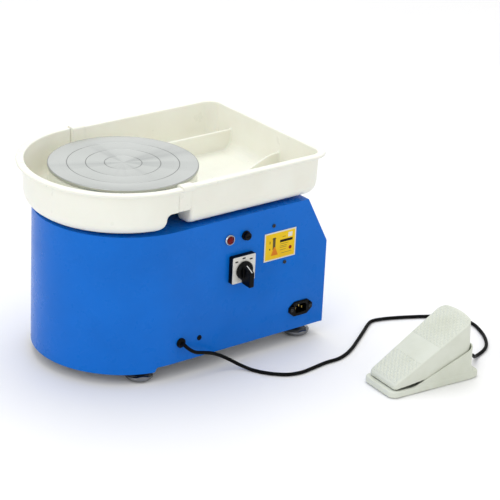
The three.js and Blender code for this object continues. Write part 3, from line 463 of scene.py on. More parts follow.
def skin(field, low, high, cell):
    """The zero surface of `field` as quads with exact normals, one point for each cell it crosses."""
    axes = [np.arange(low[i] - cell, high[i] + 2 * cell, cell) for i in range(3)]
    x, y, z = axes[0][:, None, None], axes[1][None, :, None], axes[2][None, None, :]
    value = np.broadcast_to(field(x, y, z), [len(a) for a in axes]).astype(np.float32)
    solid = value < 0
    cells = np.zeros([n - 1 for n in solid.shape], np.int8)
    corners = [(i, j, k) for i in (0, 1) for j in (0, 1) for k in (0, 1)]
    for i, j, k in corners:
        cells += solid[i:solid.shape[0] - 1 + i, j:solid.shape[1] - 1 + j, k:solid.shape[2] - 1 + k]
    where = np.argwhere((cells > 0) & (cells < 8))
    total, crossings = np.zeros((len(where), 3)), np.zeros(len(where))
    for a in corners:
        for axis in range(3):
            if a[axis]:
                continue
            b = tuple(a[n] + (n == axis) for n in range(3))
            va, vb = value[tuple((where + a).T)], value[tuple((where + b).T)]
            hit = (va < 0) != (vb < 0)
            t = np.where(hit, va / np.where(hit, va - vb, 1), 0)
            spot = np.array(a, float)[None, :] + t[:, None] * np.eye(3)[axis]
            total += np.where(hit[:, None], spot, 0)
            crossings += hit
    points = np.array([a[0] for a in axes]) + cell * (where + total / crossings[:, None])
    number = np.full(cells.shape, -1)
    number[tuple(where.T)] = np.arange(len(where))
    faces = []
    for axis in range(3):
        b, c = (axis + 1) % 3, (axis + 2) % 3
        near = [slice(1, -1)] * 3
        far = list(near)
        near[axis], far[axis] = slice(0, -1), slice(1, None)
        change = solid[tuple(near)].astype(np.int8) - solid[tuple(far)]
        at = np.argwhere(change != 0)
        sign = change[tuple(at.T)]
        base = at + 1
        base[:, axis] -= 1
        step_b, step_c = np.eye(3, dtype=int)[b], np.eye(3, dtype=int)[c]
        ring = [number[tuple((base - o).T)] for o in (step_b + step_c, step_c, 0 * step_b, step_b)]
        quad = np.stack(ring, 1)
        quad[sign < 0] = quad[sign < 0][:, ::-1]
        faces.append(quad)

    def at(p):
        return np.asarray(field(p[:, 0], p[:, 1], p[:, 2]), float)

    def slope(p, reach=0.05):
        steps = np.eye(3) * reach
        return np.stack([(at(p + s) - at(p - s)) / (2 * reach) for s in steps], 1)

    for _ in range(2):
        lean = slope(points)
        size = np.maximum((lean ** 2).sum(1), 0.2)
        shift = -(at(points) / size)[:, None] * lean
        length = np.maximum(np.linalg.norm(shift, axis=1), 1e-9)
        points = points + shift * np.minimum(1, 0.7 * cell / length)[:, None]
    normals = slope(points, 0.35 * cell)
    normals /= np.maximum(np.linalg.norm(normals, axis=1), 1e-9)[:, None]
    return points, np.concatenate(faces), normals


# ---- floor and light ----
floor_finish = Finish("floor", (252, 252, 252), Roughness=0.6, Specular_IOR_Level=0.2)
floor_finish.tint(floor_finish.noise(3, 2), (249, 249, 250), 0.4, 0.7)
floor_mesh = bpy.data.meshes.new("floor")
floor_mesh.from_pydata([(-6, -6, 0), (6, -6, 0), (6, 6, 0), (-6, 6, 0)], [], [(0, 1, 2, 3)])
floor_mesh.materials.append(floor_finish.material)
floor = bpy.data.objects.new("floor", floor_mesh)
floor.location.z = -0.0002
bpy.context.scene.collection.objects.link(floor)

world = bpy.data.worlds.new("studio")
world.use_nodes = True
world.node_tree.nodes["Background"].inputs["Color"].default_value = (1, 1, 1, 1)
world.node_tree.nodes["Background"].inputs["Strength"].default_value = 0.74
bpy.context.scene.world = world


def lamp(name, spot, aim, size, power, colour=(1, 1, 1)):
    data = bpy.data.lights.new(name, "AREA")
    data.shape, data.size, data.size_y = "RECTANGLE", size[0], size[1]
    data.energy, data.color = power, colour
    made = bpy.data.objects.new(name, data)
    made.location = spot
    made.rotation_euler = (Vector(aim) - Vector(spot)).to_track_quat("-Z", "Y").to_euler()
    bpy.context.scene.collection.objects.link(made)


lamp("key", (-2.6, -0.7, 1.9), (0, 0, 0.2), (2.0, 2.0), 16)
lamp("overhead", (0.3, 0.6, 2.6), (0, 0.1, 0.2), (2.2, 2.2), 30)
lamp("front", (0.6, -3.0, 1.2), (0, 0, 0.15), (2.4, 1.0), 4)
lamp("backdrop", (2.2, 2.8, 1.5), (0, 0, 0.3), (3.2, 1.5), 7)


# ---- splash basin ----
ROUND_BASIN = {"centre": -7, "radius": 172, "end": 360, "corner": 35}
SQUARE_BASIN = {"centre": -12, "radius": 168, "end": 313, "corner": 35}
BASIN_FOOT, BASIN_BOTTOM, BASIN_TOP, BASIN_WALL = 262.7, 266.5, 344, 4
COLLAR_TOP, COLLAR_RADIUS, COLLAR_BORE = 327, 122.5, 119
SEAM_GAP, LAP_LENGTH, LAP_RAISE, ARCH_ROOF = 0.15, 25, 2.5, 299.4
SADDLE_TOP, RIB_TOP, RIB_HALF = 303.5, 308, 2
NEAR_RIB = [(299, -40), (276, -43), (252, -53), (216, -71), (180, -89), (146, -108), (122, -128),
            (112, -150)]
# Section outlines: first the distance inside the plan, then the height. FAR lies beyond both.
FAR = 420
outer_section = Section(rounded([
    (FAR, BASIN_BOTTOM), (14.8, BASIN_BOTTOM, 26), (12, 339, 1.6), (2, 339, 1.2), (0, BASIN_TOP, 2.4),
    (FAR, BASIN_TOP),
]), (-12, 250), (90, 360))
inner_section = Section(rounded([
    (FAR, BASIN_BOTTOM + BASIN_WALL), (18.8, BASIN_BOTTOM + BASIN_WALL, 22), (15.2, BASIN_TOP), (15.2, FAR),
    (FAR, FAR),
]), (-12, 250), (90, 360))
arch_section = Section(rounded([
    (-90, 200), (90, 200), (90, BASIN_BOTTOM), (31.4, BASIN_BOTTOM, 7), (26.5, ARCH_ROOF, 3),
    (-21, ARCH_ROOF, 9), (-23, BASIN_BOTTOM, 20), (-90, BASIN_BOTTOM),
], 8), (-90, 250), (90, 360))
saddle_section = Section(rounded([
    (-47, 200), (39, 200), (39, 271, 3), (34.5, 280, 6), (32, SADDLE_TOP, 9), (-27, SADDLE_TOP, 11),
    (-28, 288, 14), (-47, 271, 3),
]), (-90, 250), (90, 360))


def route_through(knots, per=8):
    """Centripetal Catmull-Rom points through the knots."""
    p = np.array(knots, float)
    p = np.vstack([2 * p[0] - p[1], p, 2 * p[-1] - p[-2]])
    out = []
    for p0, p1, p2, p3 in zip(p, p[1:], p[2:], p[3:]):
        d0, d1, d2 = (math.sqrt(np.linalg.norm(b - a)) for a, b in ((p0, p1), (p1, p2), (p2, p3)))
        m1 = ((p1 - p0) / d0 - (p2 - p0) / (d0 + d1) + (p2 - p1) / d1) * d1
        m2 = ((p2 - p1) / d1 - (p3 - p1) / (d1 + d2) + (p3 - p2) / d2) * d1
        for k in range(per):
            t = k / per
            out.append((2 * t ** 3 - 3 * t * t + 1) * p1 + (t ** 3 - 2 * t * t + t) * m1
                       + (3 * t * t - 2 * t ** 3) * p2 + (t ** 3 - t * t) * m2)
    out.append(p[-2])
    return np.array(out)


NEAR_RIB_LINE = route_through(NEAR_RIB, 4)


def plan_inset(plan, x, y):
    """How far a point lies inside one half's outline."""
    corner, half = plan["corner"], plan["radius"]
    round_end = half - np.hypot(x - plan["centre"], y)
    qx, qy = x - (plan["end"] - corner), np.abs(y) - (half - corner)
    square_end = corner - np.hypot(np.maximum(qx, 0), np.maximum(qy, 0)) - np.minimum(np.maximum(qx, qy), 0)
    return np.where(x < plan["centre"], round_end, square_end)


def rib_distance(x, y):
    """Distance outside the straight far rib and the curved near one."""
    reach = np.maximum(np.abs(y - 95), 107 - x)
    for (x0, y0), (x1, y1) in zip(NEAR_RIB_LINE, NEAR_RIB_LINE[1:]):
        dx, dy = x1 - x0, y1 - y0
        t = np.clip(((x - x0) * dx + (y - y0) * dy) / (dx * dx + dy * dy), 0, 1)
        reach = np.minimum(reach, np.hypot(x - x0 - t * dx, y - y0 - t * dy))
    return reach - RIB_HALF


def basin(plan, x, y, z, ribs):
    """Fields of one half and of its lap band; the square half has the tray ribs and a straight notch."""
    inset, reach = plan_inset(plan, x, y), np.hypot(x, y)
    outer, inner = outer_section(inset, z), inner_section(inset, z)
    shell = common(outer, -inner, 1.9)
    plain = shell
    if ribs:
        notch = np.maximum((x - 26.5 - (ARCH_ROOF - z) * 0.149) * 0.989, z - ARCH_ROOF)
        outer = common(outer, -notch, 7)
        shell = np.maximum(shell, outer)
    collar = common(reach - COLLAR_RADIUS - 2 * (COLLAR_TOP - z) / 65, z - COLLAR_TOP, 1.2)
    made = soft_join(shell, collar, 5)
    made = soft_join(made, saddle_section(x, z), 5)
    if ribs:
        made = soft_join(made, common(rib_distance(x, y), z - RIB_TOP, 1.7), 4)
    made = np.maximum(made, outer)
    foot = np.maximum(np.maximum(reach - COLLAR_RADIUS - 2, z - BASIN_BOTTOM - 1), BASIN_FOOT - z)
    made = common(np.minimum(made, foot), -arch_section(x, z), 1)
    made = common(made, COLLAR_BORE - reach, 1)
    band = common(common(plain - LAP_RAISE, x - LAP_LENGTH, 1.5), ARCH_ROOF - z, 0.8)
    return made, common(band, COLLAR_BORE - reach, 1)


def round_half(x, y, z):
    return common(basin(ROUND_BASIN, x, y, z, False)[0], x + SEAM_GAP, 0.5)


def square_half(x, y, z):
    return common(np.minimum(*basin(SQUARE_BASIN, x, y, z, True)), SEAM_GAP - x, 0.5)


CELL = 1.8
piece("basin_round_half", skin(round_half, (-181, -174, 261), (1, 174, 345), CELL), MACHINE, cream,
      "front_basin", ["basin_front"])
piece("basin_square_half", skin(square_half, (-1, -172, 261), (314, 172, 348), CELL), MACHINE, cream,
      "rear_basin", ["basin_rear"])

# ---- housing ----
HOUSING_TOP, HOUSING_FOOT, HOUSING_LOW = 262.4, 26.4, 18.4
SHEET, STEP_X, STEP_ROUND, SPINDLE_HOLE = 1.6, -28, 4, 28
SLOPE_TOP_X, HOUSING_END, SLOPE_FOOT = 277.5, 322.5, 178


def foot_height(x):
    """Bottom edge of the wall: the round end hangs lower, through an S-shaped step."""
    if x >= STEP_X + STEP_ROUND:
        return HOUSING_FOOT
    if x <= STEP_X - STEP_ROUND:
        return HOUSING_LOW
    middle_z = (HOUSING_FOOT + HOUSING_LOW) / 2
    if x > STEP_X:
        return middle_z + math.sqrt(STEP_ROUND ** 2 - (x - STEP_X - STEP_ROUND) ** 2)
    return middle_z - math.sqrt(STEP_ROUND ** 2 - (x - STEP_X + STEP_ROUND) ** 2)


def housing_plan():
    """The D of the housing, with close points where the bottom edge steps."""
    half = HOUSING_RADIUS
    angles = [math.pi / 2 + math.pi * k / 72 for k in range(73)]
    for k in range(-4, 5):
        lean = math.acos((STEP_X + k) / half)
        angles += [lean, 2 * math.pi - lean]
    kept = []
    for angle in sorted(angles):
        if not kept or angle - kept[-1] > 0.004:
            kept.append(angle)
    arc = [(half * math.cos(a), half * math.sin(a)) for a in kept]
    return [(0.0, -half), (140.0, -half), (SLOPE_TOP_X, -half), (HOUSING_END, -half), (HOUSING_END, half),
            (SLOPE_TOP_X, half), (140.0, half)] + arc[:-1]


def round_hole(x, z, radius):
    return [(x + u, z + w) for u, w in circle(radius, 24)]


WALL_HOLES = [
    rounded([(256.5, 53.5, 2), (285.5, 53.5, 2), (285.5, 74.5, 2), (256.5, 74.5, 2)], 3),
    round_hole(*KNOB_AT, 11), round_hole(*LAMP_AT, 6.6), round_hole(*FUSE_AT, 6.6),
    round_hole(*GROMMET_AT, 6.8), round_hole(*PLUG_AT, 3.6),
]


def housing_skin():
    """Outer surface: the control wall is a frame of quads round a flat panel that holds the openings."""
    plan = housing_plan()
    count, half = len(plan), HOUSING_RADIUS
    low = [(x, y, foot_height(x)) for x, y in plan]
    high = [(x, y, SLOPE_FOOT if x > SLOPE_TOP_X + 1 else HOUSING_TOP) for x, y in plan]
    points = low + high
    faces = [(i, (i + 1) % count, count + (i + 1) % count, count + i) for i in range(3, count)]
    end = [i for i, (x, _) in enumerate(plan) if x > SLOPE_TOP_X + 1]
    faces.append((count + end[0] - 1, count + end[0], count + end[1], count + end[1] + 1))
    flat = [i for i in range(count) if i not in end]
    hole = [(x, -y, HOUSING_TOP) for x, y in circle(SPINDLE_HOLE, 48)]
    loops = [[Vector(high[i]) for i in flat], [Vector(p) for p in hole]]
    index = [count + i for i in flat] + list(range(2 * count, 2 * count + len(hole)))
    points += hole
    walls = [(loops, index, Vector((0, 0, 1)))]
    border = [0, 1, 2, 3, count + 3, count + 2, count + 1, count]
    top, foot = HOUSING_TOP - 12, HOUSING_FOOT + 12
    end_x = HOUSING_END - 12
    panel_edge = [(6, foot), (140, foot), (SLOPE_TOP_X, foot), (end_x, foot), (end_x, 175),
                  (SLOPE_TOP_X - 6.5, top), (140, top), (6, top)]
    inner = list(range(len(points), len(points) + 8))
    points += [(x, -half, z) for x, z in panel_edge]
    faces += [(border[k], border[(k + 1) % 8], inner[(k + 1) % 8], inner[k]) for k in range(8)]
    loops, index = [[Vector(points[i]) for i in inner]], list(inner)
    for outline in WALL_HOLES:
        ring = [(x, -half, z) for x, z in outline]
        loops.append([Vector(p) for p in ring])
        index += list(range(len(points), len(points) + len(ring)))
        points += ring
    walls.append((loops, index, Vector((0, -1, 0))))
    for loops, index, out in walls:
        for a, b, c in tessellate_polygon(loops):
            pa, pb, pc = (Vector(points[index[v]]) for v in (a, b, c))
            faces_out = (pb - pa).cross(pc - pa).dot(out) > 0
            faces.append((index[a], index[b], index[c]) if faces_out else (index[a], index[c], index[b]))
    return points, faces


housing = piece("blue_housing", housing_skin(), MACHINE, blue, "machine", ["housing_shell"])
# The sheet's free edges are sharp, so that its rims don't smear the shading of its faces.
once = set()
for face in housing.data.polygons:
    once ^= set(face.edge_keys)
for edge in housing.data.edges:
    edge.use_edge_sharp = edge.key in once
bevelled(housing, 4.5, 5, 20)
sheet = housing.modifiers.new("sheet", "SOLIDIFY")
sheet.thickness = SHEET * MM
sheet.offset = -1

# ---- wheel head ----
HEAD_RADIUS, HEAD_EDGE, HEAD_SEAT = 125, 5, 319.3
RINGS = (93, 62, 31)


def head_profile():
    under = HEAD_TOP - HEAD_EDGE
    corners = [(0, HEAD_SEAT), (48, HEAD_SEAT, 1), (52, HEAD_SEAT + 4.5, 2), (110, under - 3.5, 2),
               (117, under, 1), (HEAD_RADIUS, under, 0.8), (HEAD_RADIUS, HEAD_TOP, 1.1)]
    for ring in RINGS:
        corners += [(ring + 0.75, HEAD_TOP, 0.2), (ring, HEAD_TOP - 0.7, 0.15),
                    (ring - 0.75, HEAD_TOP, 0.2)]
    return corners + [(0, HEAD_TOP)]


piece("turned_wheel_head", lathe(head_profile(), 192, 4), MACHINE, turned, "wheel",
      ["wheel_head"], 25)

# ---- levelling feet ----
FOOT = [(0, 0), (15, 0, 1), (20.5, 1.8, 4), (23.5, 5.5, 2.5), (23.5, 9, 1.4), (19.5, 12.6, 5),
        (10.5, 15.6, 2), (9, 18.2, 0.6), (4, 18.4)]
NUT = circle(7.5, 6)


def foot_body():
    thread, z = [], 19.0
    while z < 41:
        thread += [(4, z), (3.5, z + 0.6)]
        z += 1.2
    return lathe(FOOT + thread + [(3.2, 42), (0, 42)], 72, 4)


for i in (1, 2, 3, 4):
    node = f"levelling_foot_{i}"
    place = Matrix.Translation((middle(node).x, middle(node).y, 0))
    piece(f"chrome_foot_{i}", foot_body(), place, shaded_foot_chrome, "machine", [node], 30)
    nut = piece(f"foot_nut_{i}", prism(NUT, 23.1, 28.3), place, steel, "machine", (), 30)
    bevelled(nut, 0.6, 2)

# ---- rotary switch ----
SWITCH, KNOB = on_wall(*SWITCH_AT), on_wall(*KNOB_AT)
PLATE_Z = 10.6


def square(size, corner):
    half = size / 2
    return rounded([(x * half, y * half, corner) for x, y in ((1, -1), (1, 1), (-1, 1), (-1, -1))], 5)


def knob(x, y, z):
    """A round skirt under a long lever that hangs low and leans back at its upper end."""
    reach = np.hypot(x, y)
    skirt_radius = np.interp(z, [10.9, 14.5, 17.3], [16.3, 16.1, 14.2])
    skirt = common(common(reach - skirt_radius, z - 17.3, 1.3), 10.9 - z, 0.5)
    head, foot = (np.interp(z, [12.9, 16.8, 31.5, 34], ends)
                  for ends in ([13, 10.8, 3.4, 1.4], [22.5, 23.2, 24.4, 23.4]))
    thick = np.interp(z, [12.9, 31.5, 34], [5.6, 4.9, 4.4])
    lever = common(common(np.maximum((y - head) * 0.89, -foot - y), np.abs(x) - thick, 2.2), z - 34, 1.6)
    lever = common(lever, 12.9 - z, 0.6)
    shaft = np.maximum(np.maximum(reach - 4.6, z - 12), 2.9 - z)
    return np.minimum(soft_join(skirt, lever, 1.5), shaft)


switch_base = piece("switch_frame", prism(square(48, 2), 0.3, 9.3), SWITCH, black_gloss, "machine",
                    ["switch_base"], 30)
bevelled(switch_base, 0.7, 3)
switch_plate = piece("switch_face", prism(square(47, 2), 9.6, PLATE_Z), SWITCH, silver, "machine",
                     ["switch_plate"], 30)
bevelled(switch_plate, 0.3, 2)
piece("pointer_knob", skin(knob, (-17, -26, 2), (17, 17, 35), 0.5), KNOB, black_gloss, "selector",
      ["selector_knob"])
MARKS = [(-16, 15.5), (-1, 19.5), (14, 15.5)]
piece("switch_marks", joined(*(panel(x, y, 6, 2.4, PLATE_Z - 0.2, PLATE_Z + 0.12) for x, y in MARKS)),
      SWITCH, film_black, "machine", (), 30)
STRIPE = [(10.2, 18.0), (3.9, 30.5), (2.7, 32.7)]
stripe = loft([[(x, y + dy, z + dz) for x, dy, dz in (
    (-0.9, 0.12, 0.12), (0.9, 0.12, 0.12), (0.9, -0.8, -0.5), (-0.9, -0.8, -0.5))] for y, z in STRIPE])
piece("knob_line", stripe, KNOB, ink_white, "selector", (), 30)

# ---- lamp and fuse ----
LAMP, FUSE = on_wall(*LAMP_AT), on_wall(*FUSE_AT)
piece("chrome_bezel", lathe([
    (0, -24), (6.2, -24, 0.5), (6.2, 0.3), (9.5, 0.3, 0.2), (9.5, 1.8, 0.7), (8.6, 3.6, 0.6),
    (7.6, 3.6, 0.4), (7.2, 1.5), (0, 1.5),
], 72), LAMP, chrome, "machine", ["lamp_bezel"], 30)
piece("red_lamp", lathe([
    (0, 1.8), (6.9, 1.8), (6.9, 3.2, 0.6), (5.4, 4.5, 0.8), (4.2, 5.2, 0.8), (2.4, 6.3, 2), (0, 6.6),
], 48), LAMP, red, "machine", ["lamp_lens"], 40)
piece("fuse_body", lathe([
    (0, -30), (6.2, -30, 0.5), (6.2, 0.3), (8.3, 0.3, 0.2), (8.3, 2.6, 0.8), (7.3, 3.1, 0.2), (0, 3.1),
], 56), FUSE, black_gloss, "machine", ["fuse_holder"], 30)


def fuse_cap(x, y, z):
    reach = np.hypot(x, y)
    body = common(common(reach - 6.8, z - 8.4, 1), 3.3 - z, 0.2)
    slot_cut = common(common(np.abs(y) - 0.8, np.abs(x) - 4.6, 0.5), 7.0 - z, 0.2)
    return common(body, -slot_cut, 0.25)


piece("fuse_knob", skin(fuse_cap, (-7, -7, 3), (7, 7, 9), 0.35), FUSE, black_gloss, "fuse_cap",
      ["fuse_cap"])

# ---- label: plain coloured panels and bars, no wording ----
LABEL = on_wall(*LABEL_AT)


def film(name, mesh_data, finish, nodes=()):
    return piece(name, mesh_data, LABEL, finish, "machine", nodes, 30)


def strips(*rows):
    """Flat panels that stand 0.1 mm proud of the label, as (x, y, width, height)."""
    return joined(*(panel(*row, 1.04, 1.1) for row in rows))


bevelled(film("label_film", panel(0, 0, 67, 51, 0.3, 1.0), film_white, ["label_plate"]), 0.2, 2)
film("label_field", panel(0, 0, 62.5, 46.5, 0.95, 1.06), film_yellow)
film("label_bar", joined(*(panel(*row, 1.04, 1.12) for row in (
    (13, 6.5, 27, 4.6), (-22, 8, 1.4, 5), (-22, -4, 1.8, 3)))), film_black)
film("label_lines", strips(*((x, y, width, 0.7) for x, y, width in (
    (9, 1.2, 18), (7, -2.4, 15), (7, -5.2, 15), (6, -9.5, 13), (14, -15.5, 22), (8, 13.8, 7)))), film_grey)
film("label_gauge", strips((-13, 4.5, 5.6, 22), (-13, 13.5, 8, 1.2)), film_grey)
film("label_wedge", prism([(-19, -16.5), (-4, -16.5), (-10, -3), (-13, -1)], 1.04, 1.11), film_amber)
film("label_dot", prism([(22 + x, -8.5 + y) for x, y in circle(3.2, 24)], 1.04, 1.12), film_red)
film("label_patch", strips((21, 15.5, 9, 8)), film_white)


# ---- screws ----
def cross_screw(head, height, low, shank, depth):
    """A pan head with a cross recess and its shank, as a field."""
    def field(x, y, z):
        reach = np.hypot(x, y)
        dome = common(reach - head, z - low - height + 0.06 * reach ** 2 * height / head, 0.25)
        body = np.maximum(dome, low - z)
        body = np.minimum(body, np.maximum(np.maximum(reach - shank, z - low - 0.3), -depth - z))
        arms = np.minimum(np.maximum(np.abs(x) - 0.42, np.abs(y) - 0.66 * head),
                          np.maximum(np.abs(y) - 0.42, np.abs(x) - 0.66 * head))
        return np.maximum(body, -np.maximum(arms, low + 0.35 * height - z))
    return skin(field, (-head, -head, -depth), (head, head, low + height), 0.3)


panel_screw = cross_screw(3.3, 1.7, 0.3, 1.7, 6)
for i, (x, z) in enumerate([(204, 230), (231, 158.5)], 1):
    piece(f"cross_screw_{i}", panel_screw, on_wall(x, z), dark_steel, "machine",
          [f"panel_screw_{i}"])

# ---- mains inlet ----
INLET = on_wall(*INLET_AT)
FACE = [(-25.5, -4, 2), (-22.5, -6.5, 2), (-14, -13.5, 3), (14, -13.5, 3), (22.5, -6.5, 2), (25.5, -4, 2),
        (25.5, 4, 2), (22.5, 6.5, 2), (14, 13.5, 3), (-14, 13.5, 3), (-22.5, 6.5, 2), (-25.5, 4, 2)]
SOCKET = [(-12, -8, 1), (12, -8, 1), (12, 4.5, 1), (8.5, 8, 1), (-8.5, 8, 1), (-12, 4.5, 1)]


def ringed(outline, hole, low, high):
    """A plate with a hole: two flat faces and two walls."""
    n, m = len(outline), len(hole)
    points = [(x, y, z) for z in (low, high) for x, y in list(outline) + list(hole)]
    faces, total = [], n + m
    for tri in tessellate_polygon([[Vector((x, y, 0)) for x, y in loop] for loop in (outline, hole)]):
        a, b, c = (Vector(points[v]) for v in tri)
        tri = tuple(tri) if (b - a).cross(c - a).z > 0 else tuple(reversed(tri))
        faces += [tuple(v + total for v in tri), tuple(reversed(tri))]
    faces += [(i, (i + 1) % n, total + (i + 1) % n, total + i) for i in range(n)]
    faces += [(n + (i + 1) % m, n + i, total + n + i, total + n + (i + 1) % m) for i in range(m)]
    return points, faces


socket_outline = rounded(SOCKET, 3)
socket_wall = [(x * 1.14, y * 1.2) for x, y in socket_outline]
inlet = piece("inlet_body", joined(
    ringed(rounded([(x * 0.93, y * 0.9, r) for x, y, r in FACE], 3), socket_outline, 2.2, 3.0),
    ringed(rounded(FACE, 3), socket_outline, 0.3, 2.25),
    ringed(socket_wall, socket_outline, -16, 0.3), prism(socket_wall, -17.5, -16),
), INLET, black_gloss, "machine", ["power_inlet"], 30)
bevelled(inlet, 0.25, 2, 40)
blade = [(-1, -2, 0.5), (1, -2, 0.5), (1, 2, 0.5), (-1, 2, 0.5)]
pins = piece("inlet_pins", joined(*(moved(prism(rounded(blade, 3), -16, -3), (x, y, 0))
                                    for x, y in ((-7, -1.5), (0, 2.5), (7, -1.5)))),
             INLET, brass, "machine", ["inlet_contacts"], 30)
bevelled(pins, 0.4, 2, 40)
inlet_screw = cross_screw(3.1, 1.4, 3.0, 1.6, 0)
for i, x in enumerate((-20, 20), 1):
    piece(f"ear_screw_{i}", inlet_screw, INLET @ Matrix.Translation((x * MM, 0, 0)), dark_steel, "machine",
          [f"inlet_screw_{i}"])

# ---- bushing and plug ----
piece("cord_bushing", lathe([
    (3.15, -6), (8.2, -6, 0.5), (8.2, -2), (6.4, -2), (6.4, 0.3), (8.5, 0.3, 0.2), (8.5, 2.2, 0.9),
    (6.8, 4.4, 0.9), (5, 5.5, 0.7), (3.15, 5.5, 0.3),
], 56), on_wall(*GROMMET_AT), rubber, "machine", ["cord_grommet"], 35)
piece("blind_plug", lathe([
    (0, -4), (3.2, -4, 0.4), (3.2, 0.3), (4.5, 0.3, 0.2), (4.5, 1.1, 0.5), (2.8, 2, 1), (0, 2.2),
], 48), on_wall(*PLUG_AT), rubber, "machine", ["hole_plug"], 35)

# ---- pedal ----
HEEL, TOE, RAKE = -84, 72, 0.583
RAKE_COS = 1 / math.hypot(1, RAKE)
HEEL_TOP, TREADLE_WALL = 20.5, 2.6
FLANGE_TOP, WELL_TOP = 11.5, 62
PIVOT_X, PIVOT_Z = -2, 50


def tread(x, y, edge):
    """Height of the raised diamonds of the two treads; `edge` is the distance outside the plan."""
    along = (x - HEEL) / RAKE_COS
    pitch = 6.4
    u, v = (along + y) / math.sqrt(2) / pitch, (along - y) / math.sqrt(2) / pitch
    fold = np.maximum(np.abs(u % 1 - 0.5), np.abs(v % 1 - 0.5)) * 2
    diamonds = np.minimum((1 - fold) / 0.6, 1)
    zone = np.maximum(np.minimum(x + 80, -32 - x), np.minimum(x - 3, 68 - x))
    return 1.4 * diamonds * np.clip(zone, 0, 1) * np.clip(-edge - 2.5, 0, 1)


def treadle(x, y, z):
    """The wedge-shaped cover: its plan widens towards the toe and again above the middle of its side."""
    t = np.clip((x - HEEL) / (TOE - HEEL), 0, 1)
    top_z, foot_z = HEEL_TOP + RAKE * (x - HEEL), 13 + 0.105 * (x - HEEL)
    share = np.clip((z - foot_z) / np.maximum(top_z - foot_z, 1), 0, 1)
    half = np.interp(share, [0, 0.42, 1], [0, 1, 2])
    low_side = np.minimum(half, 1)
    high_side = np.maximum(half - 1, 0)
    half = (36.2 - 0.2 * low_side - 0.6 * high_side
            + t * (1.3 + 0.9 * low_side + 4.7 * high_side))
    toe = x - (TOE + 4.5 * (1 - high_side) - (4 + 0.4 * low_side + 0.6 * high_side) * 1.2 * (y / 42) ** 2)
    heel = HEEL + 0.5 * (1 - share) - x
    plan = common(common(np.abs(y) - half, toe, 13), heel, 7)
    above = (z - top_z) * RAKE_COS
    plain = common(plan, above, 2.4)
    shown = common(plan, above - tread(x, y, plan), 2.4)
    return np.maximum(np.maximum(shown, foot_z - z), -(plain + TREADLE_WALL))


def pedal_base(x, y, z):
    """A flange under a hollow well with a sloping edge, the two cheeks of the pivot and the cord's hole."""
    qx, qy = np.abs(x) - 78.5, np.abs(y) - 27.7
    plan = np.hypot(np.maximum(qx, 0), np.maximum(qy, 0)) + np.minimum(np.maximum(qx, qy), 0) - 14
    flange = common(common(plan, z - FLANGE_TOP, 2.3), 1.5 - z, 1.2)
    t = np.clip((x + 70) / 150, 0, 1)
    bow = 4.8 * (y / 41) ** 2
    toe = x + bow - np.interp(z, [FLANGE_TOP, 16, 24, WELL_TOP], [88, 84.5, 82, 81])
    well = common(np.abs(y) - np.interp(z, [FLANGE_TOP, 20, WELL_TOP], [39, 38.9, 39.4]) - 2.3 * t, toe, 13)
    roof = (z - FLANGE_TOP - (x + 43.5) * 0.394) * 0.93
    well = common(np.maximum(well, -70 - x), roof, 1)
    made = soft_join(flange, well, 3)
    heel_half, widening = (np.interp(z, [4.5, WELL_TOP], ends) for ends in ([34.9, 36.8], [3.4, 2.8]))
    cavity_half = heel_half + (x + 81) / 159.6 * widening
    inner = common(common(np.abs(y) - cavity_half, x + bow - 78.6, 12), -81 - x, 7)
    made = common(made, -np.maximum(inner, 4.5 - z), 0.7)
    pivot = np.hypot(x - PIVOT_X, z - PIVOT_Z)
    cheek = np.maximum(np.abs(x - PIVOT_X) - 11, np.abs(np.abs(y) - 21) - 2)
    cheek = np.maximum(cheek, np.maximum(3 - z, z - PIVOT_Z - 7))
    made = np.minimum(made, np.maximum(cheek, 3.3 - pivot))
    gland = np.maximum(np.hypot(y, z - 19) - 4.7, 66 - x)
    return np.maximum(made, -gland)


PEDAL_CELL = 1.1
piece("treadle_cover", skin(treadle, (-85, -43, 12), (77, 43, 113), PEDAL_CELL), PEDAL, pedal_grain,
      "treadle", ["pedal_treadle"])
piece("pedal_tub", skin(pedal_base, (-93, -44, 1), (93, 44, 62), PEDAL_CELL), PEDAL, pedal_grain, "machine",
      ["pedal_base"])


def hangers(x, y, z):
    """Two lugs on the pin and the toothed sector that turns the speed control."""
    rise, reach = z - PIVOT_Z, np.hypot(x - PIVOT_X, z - PIVOT_Z)
    width = np.interp(rise, [-7, 7, 50], [7, 7, 12])
    lugs = np.maximum(np.maximum(np.abs(x - PIVOT_X) - width, -7 - rise), np.abs(np.abs(y) - 27) - 2)
    angle = np.degrees(np.arctan2(rise, x - PIVOT_X))
    teeth = 17.4 - 0.5 * np.cos(np.radians((angle + 110) * 40))
    fan = np.maximum(reach - teeth, np.abs(angle + 60.5) / 57.3 * reach - 0.87 * reach)
    arm = np.maximum(np.abs(x - PIVOT_X) - 9, -4 - rise)
    sector = np.maximum(np.minimum(fan, arm), np.abs(y - 14) - 2)
    roof = (z - HEEL_TOP - RAKE * (x - HEEL)) * RAKE_COS + 1.2
    return np.maximum(np.maximum(np.minimum(lugs, sector), roof), 3.4 - reach)


piece("treadle_hangers", skin(hangers, (-14, -30, 34), (36, 30, 100), 0.7), PEDAL,
      pedal_grain, "treadle", (), 35)
for i in (1, 2, 3, 4):
    spot = middle(f"pedal_pad_{i}")
    piece(f"rubber_pad_{i}", lathe([(0, 0), (8, 0, 0.5), (8, 1.2, 0.3), (0, 1.2)], 32),
          Matrix.Translation((spot.x, spot.y, 0)), rubber, "machine", [f"pedal_pad_{i}"], 35)

